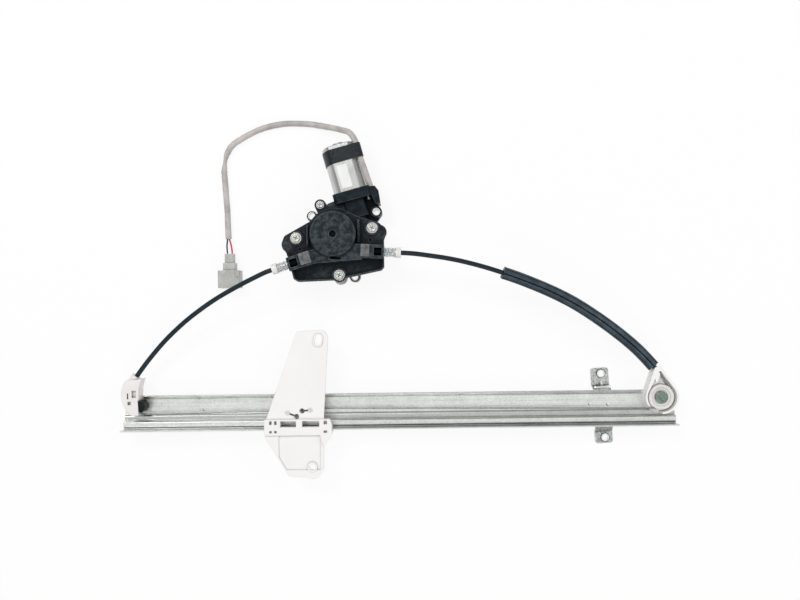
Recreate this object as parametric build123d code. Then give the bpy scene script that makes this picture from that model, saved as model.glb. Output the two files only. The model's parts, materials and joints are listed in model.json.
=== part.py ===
from build123d import *
from math import asin, atan2, cos, degrees, hypot, pi, radians, sin, sqrt, tan
import os

# Cable window regulator with one guide rail, a glass carrier, a cable drum and a worm-geared motor.
# Millimetres. X runs along the rail, +Z points away from the door panel.
# The origin is the centre of the rail bracket's upper hole, on the mounting plane.

# ------------------------------------------------------------------ clearances
running = 0.05          # radial clearance of a shaft in its bore
loose = 0.3             # clearance between bodies that move past each other
seat = 0.02             # clearance of a piece that is pressed or clipped into its seat

# ------------------------------------------------------------------ guide rail
rail_length = 590.0
rail_left = -514.0
rail_sheet = 1.2
web_top = 10.0          # face that carries the cable guide and the pulley
lip_edge_y = -17.0
lip_bend_y = -20.6
lip_rise = 5.2
web_edge_y = -37.4
step_width = 2.0
step_rise = 2.0
ledge_width = 4.2
bead_width = 8.2
bead_rise = 4.2
flange_y = -52.9
flange_height = 16.8
bend_radius = 1.3
lip_end_gap_left = 34.0
lip_end_gap_right = 42.0

# --------------------------------------------------------------- rail bracket
bracket_sheet = 1.6
bracket_width = 19.2
bracket_skew = 3.2
bracket_offset = -1.3
bracket_hole_gap = 69.4
bracket_hole_radius = 3.1
bracket_end = 6.3
upper_fold_y = -12.2
upper_fold_run = 4.4
lower_fold_y = -54.6
lower_fold_run = 8.6
burr_height = 1.0
burr_wall = 1.2

# --------------------------------------------------------------------- cables
wire_radius = 0.75
wire_y = -36.0
wire_z = 17.5
cable_z = 42.0          # height of the drum's cable plane
conduit_radius = 2.5
sleeve_radius = 6.4
sleeve_lobes = 6
sleeve_lobe_radius = 2.4
sleeve_end_gap = 10.0
left_conduit_points = ((-383.4, 100.3, 37.0), (-412.8, 84.5, 32.5), (-442.9, 63.8, 27.0), (-468.1, 41.6, 21.5))
right_conduit_points = (
    (-163.0, 124.6, 40.5), (-129.0, 116.0, 37.4), (-90.4, 103.0, 34.8), (-50.0, 86.2, 32.0),
    (-8.0, 60.8, 28.0), (26.0, 34.5, 22.0),
)

# --------------------------------------------------------------------- pulley
pulley_x = 59.4
pulley_y = -24.0
conduit_seat = (57.4, 2.1)   # end of the right conduit
conduit_bend = 8.0           # degrees between the conduit's end and the cable's line to the pulley
pulley_radius = 13.4
pulley_thickness = 7.0
pulley_web = 3.0
groove_depth = 1.8
rivet_radius = 4.0
rivet_head_radius = 6.5
rivet_head = 2.6
housing_floor = 2.6
housing_wall = 2.0
housing_height = 13.0
housing_radius = 17.6

# ---------------------------------------------------------------- cable guide
guide_x = -487.0
guide_arc = 21.0        # radius of the cable's turn in the guide
guide_rim = 5.6
guide_height = 14.0
guide_socket_radius = 5.2
guide_socket_length = 13.0
guide_exit_angle = 54.0
heel_size = 12.0
guide_side = ((-6.7, -5.7), (-3.6, -2.1), (-3.2, 6.5), (-4.4, 13.2), (-4.4, 17.0))   # from the arc's centre
guide_pockets = ((-15.3, -10.8, -2.6, 4.7), (-20.2, -18.8, -4.1, 2.1), (-19.7, -16.2, -10.4, -6.8))
pocket_depth = 3.0

# --------------------------------------------------------------------- bumper
bumper_seat_x = -495.2
bumper_gap = 2.4        # from the cable's line to the bumper
bumper_length = 9.0
bumper_width = 12.4
bumper_height = 13.0

# -------------------------------------------------------------- glass carrier
plate_bottom = 28.0
plate_top = 31.0
recess_depth = 1.0
glass_recess = ((-346.1, -58.0), (-302.3, -58.0), (-302.3, -94.6), (-338.0, -94.2), (-346.1, -80.8))
shoe_left = -361.0
shoe_right = -290.2
shoe_top_y = -41.2
shoe_bottom_y = -58.0
shoe_top = 32.6
shoe_bottom = 17.0
jaw_length = 14.5
jaw_thickness = 3.2
finger_length = 11.0
finger_thickness = 3.0
toe_thickness = 1.9
glass_slot = (-303.7, 41.6)
glass_slot_radius = 3.2
glass_slot_length = 10.6
glass_bore = (-311.1, -91.4)
glass_bore_radius = 3.3
nipple_left = (-336.7, -34.5)
nipple_right = (-312.6, -31.9)
nipple_radius = 2.6
nipple_length = 13.0
keyhole_left = (-327.1, -38.3)
keyhole_right = (-321.3, -32.6)

# ------------------------------------------------------------------ gear train
drum_x = -285.4
drum_y = 150.9
motor_tilt = 15.2       # degrees that the motor leans from +Y towards -X
wheel_teeth = 76
tooth_module = 0.65
worm_pitch_radius = 4.8
wheel_face = 9.0
worm_z = 18.0
worm_length = 18.0
tooth_play = 0.12
shaft_radius = 4.0
hub_radius = 8.0
pocket_radius = 20.0    # outside of the wheel's rubber pads
pad_angle = 40.0
dog_angle = 22.0
armature_shaft_radius = 2.0

# ------------------------------------------------------------ gear housing
plate_sheet = 2.0
case_top = 31.0
case_wall = 2.2
chamber_gap = 1.3
tunnel_radius = 9.2
mouth_distance = 41.0   # worm centre to the motor's mating face
mouth_depth = 10.5
mouth_width = 40.0
mouth_side = 7.0        # solid side of the mouth that the can screws pass
can_screw_offset = 16.2
can_screw_radius = 1.5
mouth_height = 33.0
boss_radius = 5.2
screw_core_radius = 1.7
mount_a = (-311.5, 174.2)
mount_b = (-265.5, 108.0)
mount_c = (-241.3, 176.6)
mount_bore_radius = 3.2
mount_ear_radius = 6.2
mount_boss_radius = 6.0
flange_top = 20.0
case_screw = (-299.8, 183.1)
lead_port = ((18.5, 40.0), (25.6, 38.8), (28.0, 33.0), (26.5, 20.0), (21.6, 20.0), (19.8, 31.5))  # side, along

# ------------------------------------------------------------- drum housing
housing_screws = ((-324.7, 148.1), (-245.6, 157.8), (-280.2, 109.1))
screw_head_radius = 5.9
screw_head_height = 2.6
screw_length = 16.0
base_sheet = 3.0
dome_radius = 23.5
dome_wall = 2.2
dome_height = 21.0
dome_hole_radius = 3.6
block_width = 14.0
block_top = 18.0
drum_pitch_radius = 16.25
drum_rim = 1.1
drum_length = 13.0
drum_turns = 5
drum_clear_run = 9.5    # from the drum's tangent point to where the cable stands clear of its rim
drum_pitch = 2.1
hex_flats = 8.0

# ---------------------------------------------------------------- tensioners
left_exit_angle = 196.5
right_exit_angle = -2.85
left_wall_x = -332.0
right_wall_x = -233.2
tube_radius = 4.7
tube_wall = 0.9
tube_length = 22.0
tube_reach = 12.0       # length that stands out of the drum housing
cap_radius = 5.5
cap_length = 5.5
spring_wire = 0.9
spring_coils = 6

# --------------------------------------------------------------------- motor
can_length = 50.0
can_radius = 18.4
can_flat = 15.4         # centre to flat
can_wall = 1.6
can_ear = 2.2           # thickness of the can's screw ears
end_boss_radius = 6.4
end_boss_height = 3.2
magnet_thickness = 5.0
magnet_length = 32.0
magnet_arc = 100.0
core_radius = 10.6
core_length = 27.0
core_slots = 8
coil_length = 5.0
commutator_radius = 5.5
commutator_length = 9.0
bush_radius = 4.2
bush_length = 5.0
brush_size = (4.0, 3.4, 6.0)
band_start = 31.0       # from the motor's mating face
band_length = 15.0
band_thickness = 0.7
band_slack = 0.2        # room for the lead's slight curve under the band
label_size = (11.0, 25.0, 0.15)

# ----------------------------------------------------------------------- lead
lead_radius = 3.25
grommet_length = 9.0
grommet_wall = 1.3
lead_beside_motor = (   # distance along the motor, offset to its side and height
    (38.0, 21.2, 25.5), (53.0, 20.2, 28.6), (71.0, 18.9, 29.5), (98.5, 18.8, 29.5), (110.0, 5.5, 13.5),
)
lead_on_surface = (
    (-297.2, 271.6, 5.2), (-317.0, 275.0, 3.4), (-339.5, 275.6, 3.35), (-362.0, 271.6, 3.35),
    (-383.0, 262.0, 3.35), (-398.5, 248.0, 3.35), (-405.6, 228.0, 3.35), (-404.8, 203.0, 3.35),
    (-402.9, 176.0, 3.6), (-402.3, 150.8, 4.4),
)
core_wire_radius = 0.85
core_wire_gap = 2.6
connector_x = -400.2
connector_back_y = 134.4
connector_length = 37.0
connector_width = 23.6
connector_height = 15.0
connector_wall = 1.6
neck_width = 9.6
neck_length = 10.0
shoulder_width = 13.0
shoulder_length = 8.0


# -------------------------------------------------------------------- helpers
def column(x, y, z0, z1, radius):
    """Upright cylinder from z0 to z1."""
    return Pos(x, y, z0) * Cylinder(radius, z1 - z0, align=(Align.CENTER, Align.CENTER, Align.MIN))


def block(x0, x1, y0, y1, z0, z1):
    """Box between two opposite corners."""
    return Pos(x0, y0, z0) * Box(x1 - x0, y1 - y0, z1 - z0, align=(Align.MIN, Align.MIN, Align.MIN))


def slab(face, z0, z1):
    """Flat outline raised from z0 to z1."""
    return Pos(0, 0, z0) * extrude(face, amount=z1 - z0, dir=(0, 0, 1))


def outline(points, radius=0.0):
    """Closed outline with rounded corners; radius is one value or one for each corner."""
    return make_face(FilletPolyline(*points, radius=radius, close=True))


def hull_of(*circles):
    """Convex outline round circles given as (x, y, radius)."""
    edges = [edge for x, y, radius in circles for edge in (Pos(x, y) * Circle(radius)).edges()]
    return make_hull(edges)


def strip(line, thickness, radius=0.0):
    """Section of a bent sheet whose middle follows the line."""
    return trace(FilletPolyline(*line, radius=radius), line_width=thickness)


def corner_radii(points, share=0.45):
    """Arc radius at each inner point: a share of the shorter run over the tangent of half the turn."""
    vectors = [Vector(*p) for p in points]
    radii = []
    for before, here, after in zip(vectors, vectors[1:], vectors[2:]):
        turn = (here - before).get_angle(after - here)
        shorter = min((here - before).length, (after - here).length)
        radii.append(share * shorter / tan(radians(turn / 2)))
    return radii


def smooth_path(points):
    """Straight runs joined by tangent arcs as large as the runs allow."""
    return FilletPolyline(*points, radius=corner_radii(points))


def tube_along(path, radius, bore=0.0):
    """Round tube swept along a path."""
    section = Circle(radius) - Circle(bore) if bore else Circle(radius)
    return sweep(Plane(origin=path @ 0, z_dir=path % 0) * section, path=path)


def group(pieces):
    """Separate solids of one kind that share a node."""
    return Compound(children=[Part(piece.wrapped) for piece in pieces])


def export(name, shape):
    """Write one node as a STEP file."""
    export_step(shape, f"parts/{name}.step")
    solids = shape.solids()
    print(f"{name:24s} solids {len(solids):3d} volume {sum(s.volume for s in solids):10.1f}")


# ----------------------------------------------------- sizes that follow from others
wheel_pitch_radius = wheel_teeth * tooth_module / 2
thread_pitch = pi * tooth_module
centre_distance = wheel_pitch_radius + worm_pitch_radius
addendum = tooth_module
dedendum = 1.25 * tooth_module
tooth_slope = tan(radians(20.0))
lead_slope = thread_pitch / (2 * pi * worm_pitch_radius)
thread_turns = 2 * round(worm_length / thread_pitch / 2)

motor_axis = Vector(-sin(radians(motor_tilt)), cos(radians(motor_tilt)), 0)
motor_side = Vector(cos(radians(motor_tilt)), sin(radians(motor_tilt)), 0)
worm_centre = Vector(drum_x, drum_y, worm_z) + centre_distance * motor_side

tunnel_bore = worm_pitch_radius + addendum + 1.2
shaft_start = -24.0
shaft_end = mouth_distance + can_length + 0.5

web_bottom = web_top - rail_sheet
ledge_y = web_edge_y - step_width
bead_y = ledge_y - ledge_width
ledge_top = web_top + step_rise
flange_top_z = web_top + flange_height
rail_right = rail_left + rail_length

pulley_groove_radius = pulley_y - wire_y
pulley_bottom = web_top + housing_floor + loose
wheel_bottom = worm_z - wheel_face / 2
wheel_top = worm_z + wheel_face / 2
drum_bottom = case_top + base_sheet + 0.6
drum_top = drum_bottom + drum_length
dome_top = case_top + dome_height
pocket_floor = wheel_bottom + 3.0
guide_y = wire_y + guide_arc
core_start = mouth_distance + 11.5
commutator_start = core_start - coil_length - 1.0 - commutator_length
brush_start = commutator_start + 2.0


def along_motor(distance, side=0.0, height=0.0):
    """Frame on the motor's axis: local Z along the axis, local X across it, local Y up."""
    origin = worm_centre + distance * motor_axis + side * motor_side + Vector(0, 0, height)
    return Plane(origin=origin, x_dir=-motor_side, z_dir=motor_axis)


def motor_rod(start, end, radius, bore=0.0):
    """Round piece on the motor's axis between two distances from the worm's centre."""
    section = Circle(radius) - Circle(bore) if bore else Circle(radius)
    return extrude(along_motor(start) * section, amount=end - start)


def flat_sided(radius, flat):
    """Circle with two opposite flats, the section of the motor can."""
    return Circle(radius) & Rectangle(2 * radius + 2, 2 * flat)


def exit_direction(angle):
    """Unit vector of a cable that leaves the drum at this angle."""
    return Vector(cos(radians(angle)), sin(radians(angle)), 0)


def drum_tangent(angle):
    """Point where a cable that leaves at this angle touches the underside of the drum."""
    direction = exit_direction(angle)
    down = Vector(direction.Y, -direction.X, 0)
    if down.Y > 0:
        down = -down
    return Vector(drum_x, drum_y, cable_z) + drum_pitch_radius * down


def exit_frame(angle, wall_x):
    """Frame where a cable's line leaves the drum housing: local Z along the cable, outwards."""
    direction = exit_direction(angle)
    start = drum_tangent(angle)
    distance = (wall_x - start.X) / direction.X
    return Plane(origin=start + distance * direction, x_dir=(0, 0, 1), z_dir=direction)


lead_points = [tuple(worm_centre + along * motor_axis + side * motor_side + Vector(0, 0, z - worm_z))
               for along, side, z in lead_beside_motor] + list(lead_on_surface)

left_exit = exit_frame(left_exit_angle, left_wall_x)
right_exit = exit_frame(right_exit_angle, right_wall_x)


# ------------------------------------------------------------------ guide rail
def rail_line(with_lip):
    """Middle of the rail's sheet, from the lip or the plain edge down to the flange."""
    half = rail_sheet / 2
    ledge = ledge_top - half
    crown = ledge + bead_rise
    start = [(lip_edge_y, web_top - half + lip_rise), (lip_bend_y, web_top - half)]
    if not with_lip:
        start = [(lip_edge_y, web_top - half)]
    return start + [
        (web_edge_y, web_top - half),
        (ledge_y, ledge),
        (bead_y, ledge),
        (bead_y - 1.4, crown),
        (bead_y - bead_width + 2.2, crown),
        (flange_y, ledge + bead_rise / 2),
        (flange_y, flange_top_z),
    ]


def rail_stretch(x0, x1, with_lip):
    section = strip(rail_line(with_lip), rail_sheet, bend_radius)
    return extrude(Plane.YZ.offset(x0) * section, amount=x1 - x0)


def guide_rail():
    lip_start = rail_left + lip_end_gap_left
    lip_end = rail_right - lip_end_gap_right
    rail = rail_stretch(rail_left, lip_start, False) + rail_stretch(lip_end, rail_right, False)
    rail += rail_stretch(lip_start, lip_end, True)
    rail -= column(pulley_x, pulley_y, 0, web_top + 1, rivet_radius + seat)
    return rail


# --------------------------------------------------------------- rail bracket
def bracket_frame():
    return Rot(0, 0, bracket_skew)


def rail_bracket():
    """Strap behind the rail with both ears stepped down to the mounting plane."""
    low = bracket_sheet / 2
    high = web_bottom - bracket_sheet / 2
    line = [
        (bracket_end, low),
        (upper_fold_y, low),
        (upper_fold_y - upper_fold_run, high),
        (lower_fold_y, high),
        (lower_fold_y - lower_fold_run, low),
        (-bracket_hole_gap - bracket_end, low),
    ]
    left = bracket_offset - bracket_width / 2
    strap = extrude(Plane.YZ.offset(left) * strip(line, bracket_sheet, bend_radius), amount=bracket_width)
    corners = [e for e in strap.edges().filter_by(Axis.Z) if e.length < bracket_sheet + 0.1]
    strap = fillet(corners, 3.0)
    for y in (0, -bracket_hole_gap):
        strap += column(0, y, 0, bracket_sheet + burr_height, bracket_hole_radius + burr_wall)
        strap -= column(0, y, -1, web_top, bracket_hole_radius)
    rib = Polyline((upper_fold_y + 3.4, bracket_sheet), (upper_fold_y - upper_fold_run, bracket_sheet),
                   (upper_fold_y - upper_fold_run, web_bottom - bracket_sheet), close=True)
    strap += extrude(Plane.YZ.offset(bracket_offset - 1.1) * make_face(rib), amount=2.2)
    return bracket_frame() * strap


# ------------------------------------------------- cable guide and bumper
def guide_point(angle, radius, z=0.0):
    return (guide_x + radius * cos(radians(angle)), guide_y + radius * sin(radians(angle)), z)


def guide_exit(distance=0.0):
    """Point on the cable's line beyond the guide's arc."""
    x, y, z = guide_point(guide_exit_angle + 90, guide_arc, wire_z)
    direction = exit_direction(guide_exit_angle)
    return Vector(x, y, z) + distance * direction


def cable_guide():
    """Moulding at the rail's lower end that turns the cable up towards the drum."""
    rim = guide_arc + guide_rim
    start = guide_exit_angle + 90
    bow = [Vector(*guide_point(a, rim)) for a in (start, 185, 236)]
    side = [Vector(guide_x + dx, guide_y + dy) for dx, dy in guide_side]
    foot = [bow[2], Vector(bumper_seat_x, web_edge_y + 0.8), Vector(bumper_seat_x, side[0].Y)]
    face = make_face([ThreePointArc(*bow), Polyline(*foot, *side, bow[0])])
    body = slab(face, web_top, web_top + guide_height)
    socket_plane = Plane(origin=guide_exit(-4.0), z_dir=exit_direction(guide_exit_angle))
    body += extrude(socket_plane * Circle(guide_socket_radius), amount=guide_socket_length)
    heel_x = guide_point(start, guide_arc)[0] - 2.0
    body += block(heel_x - heel_size / 2, heel_x + heel_size / 2, lip_edge_y + 0.6,
                  lip_edge_y + heel_size, 0, web_top + 2)
    body += block(heel_x - heel_size / 2 + 2, heel_x + heel_size / 2 - 2, web_edge_y + 8,
                  lip_edge_y + 1.6, web_bottom - 3.2, web_bottom)
    channel = slab(Pos(guide_x, guide_y) * (Circle(guide_arc + 1.2) - Circle(guide_arc - 1.2)),
                   wire_z - 1.2, wire_z + 1.2)
    sector = slab(make_face(Polyline((guide_x + 3, guide_y), guide_point(start, 60)[:2],
                                     guide_point(200, 60)[:2], guide_point(270, 60)[:2],
                                     (guide_x + 3, guide_y - 60), close=True)), 0, 40)
    body -= channel & sector
    body -= extrude(Plane(origin=guide_exit(-1.0), z_dir=exit_direction(guide_exit_angle))
                    * Circle(1.2), amount=guide_socket_length + 6)
    body -= extrude(Plane(origin=guide_exit(guide_socket_length - 10.0),
                          z_dir=exit_direction(guide_exit_angle)) * Circle(conduit_radius + seat),
                    amount=12)
    top = web_top + guide_height
    for x0, x1, y0, y1 in guide_pockets:
        body -= block(guide_x + x0, guide_x + x1, guide_y + y0, guide_y + y1, top - pocket_depth, top + 1)
    return body


def bumper():
    """Rubber stop in front of the guide, pointed towards the carrier."""
    x0 = bumper_seat_x
    x1 = x0 + bumper_length
    y0 = wire_y + bumper_gap
    y1 = y0 + bumper_width
    middle = (y0 + y1) / 2
    face = outline([(x0, y0), (x1 - 3, y0 + 0.6), (x1, middle - 1.6), (x1, middle + 1.6),
                    (x1 - 3, y1 - 0.6), (x0, y1)], 0.8)
    return slab(face, web_top, web_top + bumper_height)


# ------------------------------------------------- pulley and its housing
def pulley_tangent():
    """Conduit end in the pulley housing and the point where the cable meets the pulley."""
    centre = Vector(pulley_x, pulley_y, wire_z)
    end = Vector(*conduit_seat, wire_z)
    gap = (centre - end).length
    heading = degrees(atan2(centre.Y - end.Y, centre.X - end.X))
    heading += degrees(asin(pulley_groove_radius / gap))
    reach = sqrt(gap ** 2 - pulley_groove_radius ** 2)
    return end, end + reach * exit_direction(heading), heading


def pulley_housing():
    """Drop-shaped tray on the rail with a wall round the pulley and a seat for the conduit."""
    end, touch, heading = pulley_tangent()
    back = -exit_direction(heading + conduit_bend)
    tail = end + 3.0 * back
    outer = hull_of((pulley_x, pulley_y, housing_radius), (tail.X, tail.Y, 4.6))
    inner = hull_of((pulley_x, pulley_y, housing_radius - housing_wall), (end.X, end.Y, 1.6))
    floor = web_top + housing_floor
    top = web_top + housing_height
    body = slab(outer, web_top, top) - slab(inner, floor, top + 1)
    body -= block(pulley_x - 40, pulley_x, pulley_y - 40, wire_y + 3.0, floor, top + 1)
    filler = hull_of((end.X - 2.5, end.Y - 1.5, 2.4), (pulley_x - 6.0, pulley_y + 17.0, 1.2))
    body += slab(filler, floor, top) & slab(outer, web_top, top)
    body -= block(pulley_x - 40, pulley_x + 40, web_edge_y - 20, web_edge_y + 0.6, 0, ledge_top)
    bore = Plane(origin=end, z_dir=back)
    body -= extrude(Plane(origin=end, z_dir=exit_direction(heading)) * Circle(wire_radius + 0.7), amount=12)
    body -= extrude(bore * Circle(conduit_radius + seat), amount=20)
    body -= column(pulley_x, pulley_y, 0, top + 1, rivet_radius + seat)
    body += (column(pulley_x, pulley_y, web_top, pulley_bottom, rivet_radius + 2.2)
             - column(pulley_x, pulley_y, 0, top + 1, rivet_radius + seat))
    return body


def pulley():
    """Wheel with a V groove for the cable and a dished face."""
    half = pulley_thickness / 2
    z = wire_z - pulley_bottom
    profile = make_face(Polyline(
        (rivet_radius + running, 0), (pulley_radius, 0), (pulley_radius, z - 2.0),
        (pulley_groove_radius - wire_radius - 0.05, z - 0.7),
        (pulley_groove_radius - wire_radius - 0.05, z + 0.7), (pulley_radius, z + 2.0),
        (pulley_radius, pulley_thickness), (pulley_radius - 3.0, pulley_thickness),
        (pulley_radius - 4.0, pulley_thickness - 1.2), (rivet_head_radius + 1.3, pulley_thickness - 1.2),
        (rivet_head_radius + 0.9, half + pulley_web / 2), (rivet_radius + running, half + pulley_web / 2),
        close=True))
    return Pos(pulley_x, pulley_y, pulley_bottom) * revolve(Plane.XZ * profile, axis=Axis.Z)


def pulley_rivet():
    """Shouldered pin, peened under the rail."""
    head_z = pulley_bottom + pulley_thickness / 2 + pulley_web / 2 + running
    pin = column(pulley_x, pulley_y, web_bottom, head_z, rivet_radius)
    pin += column(pulley_x, pulley_y, head_z, head_z + rivet_head, rivet_head_radius)
    pin += column(pulley_x, pulley_y, web_bottom - 2.0, web_bottom, rivet_radius + 1.6)
    top_edge = pin.edges().filter_by(GeomType.CIRCLE).sort_by(Axis.Z)[-1]
    return chamfer(top_edge, 0.5)


# -------------------------------------------------------------- glass carrier
def carrier_outline():
    """Plate seen from the front: a tapering arm above the shoe and a pocket below it."""
    return outline(
        [(-326.0, 50.9), (-297.4, 52.2), (-293.2, 44.5), (-298.4, -37.0), (-299.2, -95.0),
         (-307.0, -104.0), (-336.3, -100.4), (-360.9, -59.6), (-358.9, -40.5)],
        [1.5, 5.0, 5.0, 2.0, 6.0, 4.0, 2.0, 2.0, 2.0])


def shoe_outline():
    return outline(
        [(shoe_left, shoe_top_y), (shoe_right - 2.0, shoe_top_y), (shoe_right, -46.5),
         (shoe_right, shoe_bottom_y), (-299.0, -70.5), (-303.0, shoe_bottom_y),
         (shoe_left, shoe_bottom_y)],
        [1.5, 1.5, 2.0, 2.0, 1.0, 0.5, 1.5])


def slot_through(centre, radius, length, tilt=0.0):
    """Upright slot-shaped cutter; its long side lies along X before the tilt."""
    shape = SlotOverall(length, 2 * radius)
    return slab(Pos(*centre) * Rot(0, 0, tilt) * shape, shoe_bottom - 10, shoe_top + 5)


def glass_carrier():
    plate = slab(carrier_outline(), plate_bottom, plate_top)
    shoe = slab(shoe_outline(), plate_bottom - 0.6, shoe_top)
    body = plate + shoe
    body -= slab(outline(glass_recess, 1.0), plate_top - recess_depth, plate_top + 3)
    # guide jaws on both sides of the rail's flange
    flange_front = flange_y + rail_sheet / 2 + loose
    flange_back = flange_y - rail_sheet / 2 - loose
    for x0, x1 in ((shoe_left, shoe_left + jaw_length), (shoe_right - jaw_length, shoe_right)):
        jaw = block(x0, x1, flange_front, flange_front + 2.6, ledge_top + bead_rise + 0.9, plate_bottom)
        jaw += block(x0, x1, flange_back - jaw_thickness, flange_back, shoe_bottom - 4, plate_bottom)
        body += jaw
    # fingers that hook the rail's lip
    lip_outside = lip_edge_y + rail_sheet / 2 + 0.5
    for x0 in (-350.0, -312.0):
        body += block(x0, x0 + finger_length, lip_outside, lip_outside + finger_thickness,
                      web_bottom + 0.5, plate_bottom)
        body += block(x0, x0 + finger_length, lip_edge_y - 1.4, lip_outside,
                      web_bottom + 0.5, web_bottom + 0.5 + toe_thickness)
    # anchor block for the two cable ends
    anchor = block(-345.0, -304.0, -40.6, -27.5, wire_z - 3.5, plate_bottom)
    body += anchor
    for centre, keyhole in ((nipple_left, keyhole_left), (nipple_right, keyhole_right)):
        rise = degrees(atan2(keyhole[1] - centre[1], keyhole[0] - centre[0]))
        gap = hypot(keyhole[0] - centre[0], keyhole[1] - centre[1])
        middle = ((keyhole[0] + centre[0]) / 2, (keyhole[1] + centre[1]) / 2)
        body -= column(*centre, shoe_bottom - 10, shoe_top + 5, nipple_radius + seat)
        body -= column(*keyhole, shoe_bottom - 10, shoe_top + 5, nipple_radius + 0.1)
        body -= slot_through(middle, wire_radius + 0.2, gap + 1.6, rise)
    body -= block(shoe_left - 1, nipple_left[0], wire_y - 0.9, nipple_left[1] + 1.2,
                  wire_z - 4, wire_z + 1.2)
    body -= block(nipple_right[0], shoe_right + 1, nipple_right[1] - 1.4, nipple_right[1] + 1.2,
                  wire_z - 4, wire_z + 1.2)
    # openings over the rail's bead and the small moulding holes of the shoe
    for x0, x1 in ((-344.2, -327.7), (-321.3, -303.3)):
        body -= block(x0, x1, -49.3, -43.0, shoe_bottom, shoe_top + 1)
    for x0, x1 in ((-355.6, -353.1), (-350.4, -347.9), (-298.7, -295.2)):
        body -= block(x0, x1, -46.6, -42.9, plate_bottom, shoe_top + 1)
        body -= block(x0, x1, -55.4, -53.0, flange_top_z + 2.4, shoe_top + 1)
    # glass fixings
    body += slab(Pos(*glass_slot) * Rot(0, 0, 80) * SlotOverall(glass_slot_length + 3.6,
                 2 * glass_slot_radius + 3.6), plate_bottom, plate_top + 1.0)
    body -= slot_through(glass_slot, glass_slot_radius, glass_slot_length, 80)
    body += column(*glass_bore, plate_bottom - 1.5, plate_top + 0.6, glass_bore_radius + 2.0)
    body -= column(*glass_bore, plate_bottom - 5, plate_top + 5, glass_bore_radius)
    # stiffening ribs under the arm
    for x0, y0, x1, y1 in ((-322.0, 48.0, -352.0, -28.0), (-300.0, 36.0, -303.0, -28.0)):
        body += slab(hull_of((x0, y0, 0.9), (x1, y1, 0.9)), plate_bottom - 4.0, plate_bottom)
    return body


def cable_nipples():
    """The two cast ends of the cables, seated upright in the carrier."""
    ends = [column(x, y, wire_z - 2.6, plate_top + 0.3, nipple_radius)
            for x, y in (nipple_left, nipple_right)]
    return group(ends)


# --------------------------------------------------------------------- cables
def rod_between(start, end, radius):
    """Straight wire between two points."""
    start, end = Vector(*start), Vector(*end)
    return extrude(Plane(origin=start, z_dir=end - start) * Circle(radius), amount=(end - start).length)


def wire_left_run():
    """Cable from the guide's arc to the carrier."""
    return rod_between((guide_x + 2.0, wire_y, wire_z),
                       (nipple_left[0] - nipple_radius - 0.1, nipple_left[1], wire_z), wire_radius)


def wire_right_run():
    """Cable from the pulley to the carrier."""
    return rod_between((pulley_x - 2.0, wire_y, wire_z),
                       (nipple_right[0] + nipple_radius + 0.1, nipple_right[1], wire_z), wire_radius)


def wire_at_guide():
    """Cable that lies in the guide's arc, up to the conduit."""
    arc = CenterArc((guide_x, guide_y, wire_z), guide_arc, 270, guide_exit_angle + 90 - 270)
    tail = Line(arc @ 1, guide_exit(guide_socket_length - 10.0))
    lead = Line((guide_x + 1.8, wire_y, wire_z), (guide_x, wire_y, wire_z))
    return tube_along(Wire([lead, arc, tail]), wire_radius)


def wire_at_pulley():
    """Cable from the conduit's end round the pulley to its underside."""
    end, touch, heading = pulley_tangent()
    start_angle = degrees(atan2(touch.Y - pulley_y, touch.X - pulley_x))
    arc = CenterArc((pulley_x, pulley_y, wire_z), pulley_groove_radius, start_angle,
                    -90 - start_angle)
    lead = Line(end + 0.15 * exit_direction(heading), arc @ 0)
    tail = Line(arc @ 1, (pulley_x - 1.8, wire_y, wire_z))
    return tube_along(Wire([lead, arc, tail]), wire_radius)


def conduit_left():
    """Covered cable from the left tensioner down to the guide."""
    start = left_exit.origin + (tube_reach - 1.0) * left_exit.z_dir
    first = left_exit.origin + (tube_reach + 12.0) * left_exit.z_dir
    end = guide_exit(guide_socket_length - 10.0)
    last = guide_exit(guide_socket_length + 14.0)
    points = [start, first, *left_conduit_points, last, end]
    return tube_along(smooth_path(points), conduit_radius)


def conduit_right_points():
    end, touch, heading = pulley_tangent()
    start = right_exit.origin + (tube_reach - 1.0) * right_exit.z_dir
    first = right_exit.origin + (tube_reach + 18.0) * right_exit.z_dir
    last = end - 20.5 * exit_direction(heading + conduit_bend)
    return [start, first, *right_conduit_points, last, end]


def conduit_right():
    """Covered cable from the right tensioner down to the pulley."""
    return tube_along(smooth_path(conduit_right_points()), conduit_radius)


def sleeve_path():
    """Part of the right conduit's own path: from the middle of one run to short of its end."""
    points = [Vector(*p) for p in conduit_right_points()]
    radii = corner_radii(points)
    start = (points[3] + points[4]) / 2
    end = points[-1] - sleeve_end_gap * (points[-1] - points[-2]).normalized()
    return FilletPolyline(start, *points[4:-1], end, radius=radii[3:])


def sleeve_section():
    """Round section with rounded ribs along its length."""
    radius = sleeve_radius - sleeve_lobe_radius
    section = Circle(sleeve_radius - sleeve_lobe_radius * 0.55)
    for i in range(sleeve_lobes):
        angle = 2 * pi * i / sleeve_lobes
        section += Pos(radius * cos(angle), radius * sin(angle)) * Circle(sleeve_lobe_radius)
    return section - Circle(conduit_radius + seat)


def conduit_sleeve():
    """Ribbed protective sleeve over the lower part of the right conduit."""
    path = sleeve_path()
    return sweep(Plane(origin=path @ 0, z_dir=path % 0) * sleeve_section(), path=path)


# ------------------------------------------------------ gear housing and plate
def ear(x, y, radius, z0, z1, root=16.0):
    """Lug joined to the gear housing's chamber by tangent walls."""
    reach = hypot(x - drum_x, y - drum_y)
    inside = (drum_x + (x - drum_x) * root / reach, drum_y + (y - drum_y) * root / reach)
    return slab(hull_of((x, y, radius), (*inside, radius)), z0, z1)


def chamber_radius():
    return wheel_pitch_radius + addendum + chamber_gap


def brush_pocket(gap):
    """Outline of the brush pocket in the motor's mouth."""
    return RectangleRounded(mouth_width - 2 * mouth_side - gap, mouth_height - 6.0 - gap, 3.0)


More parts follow.
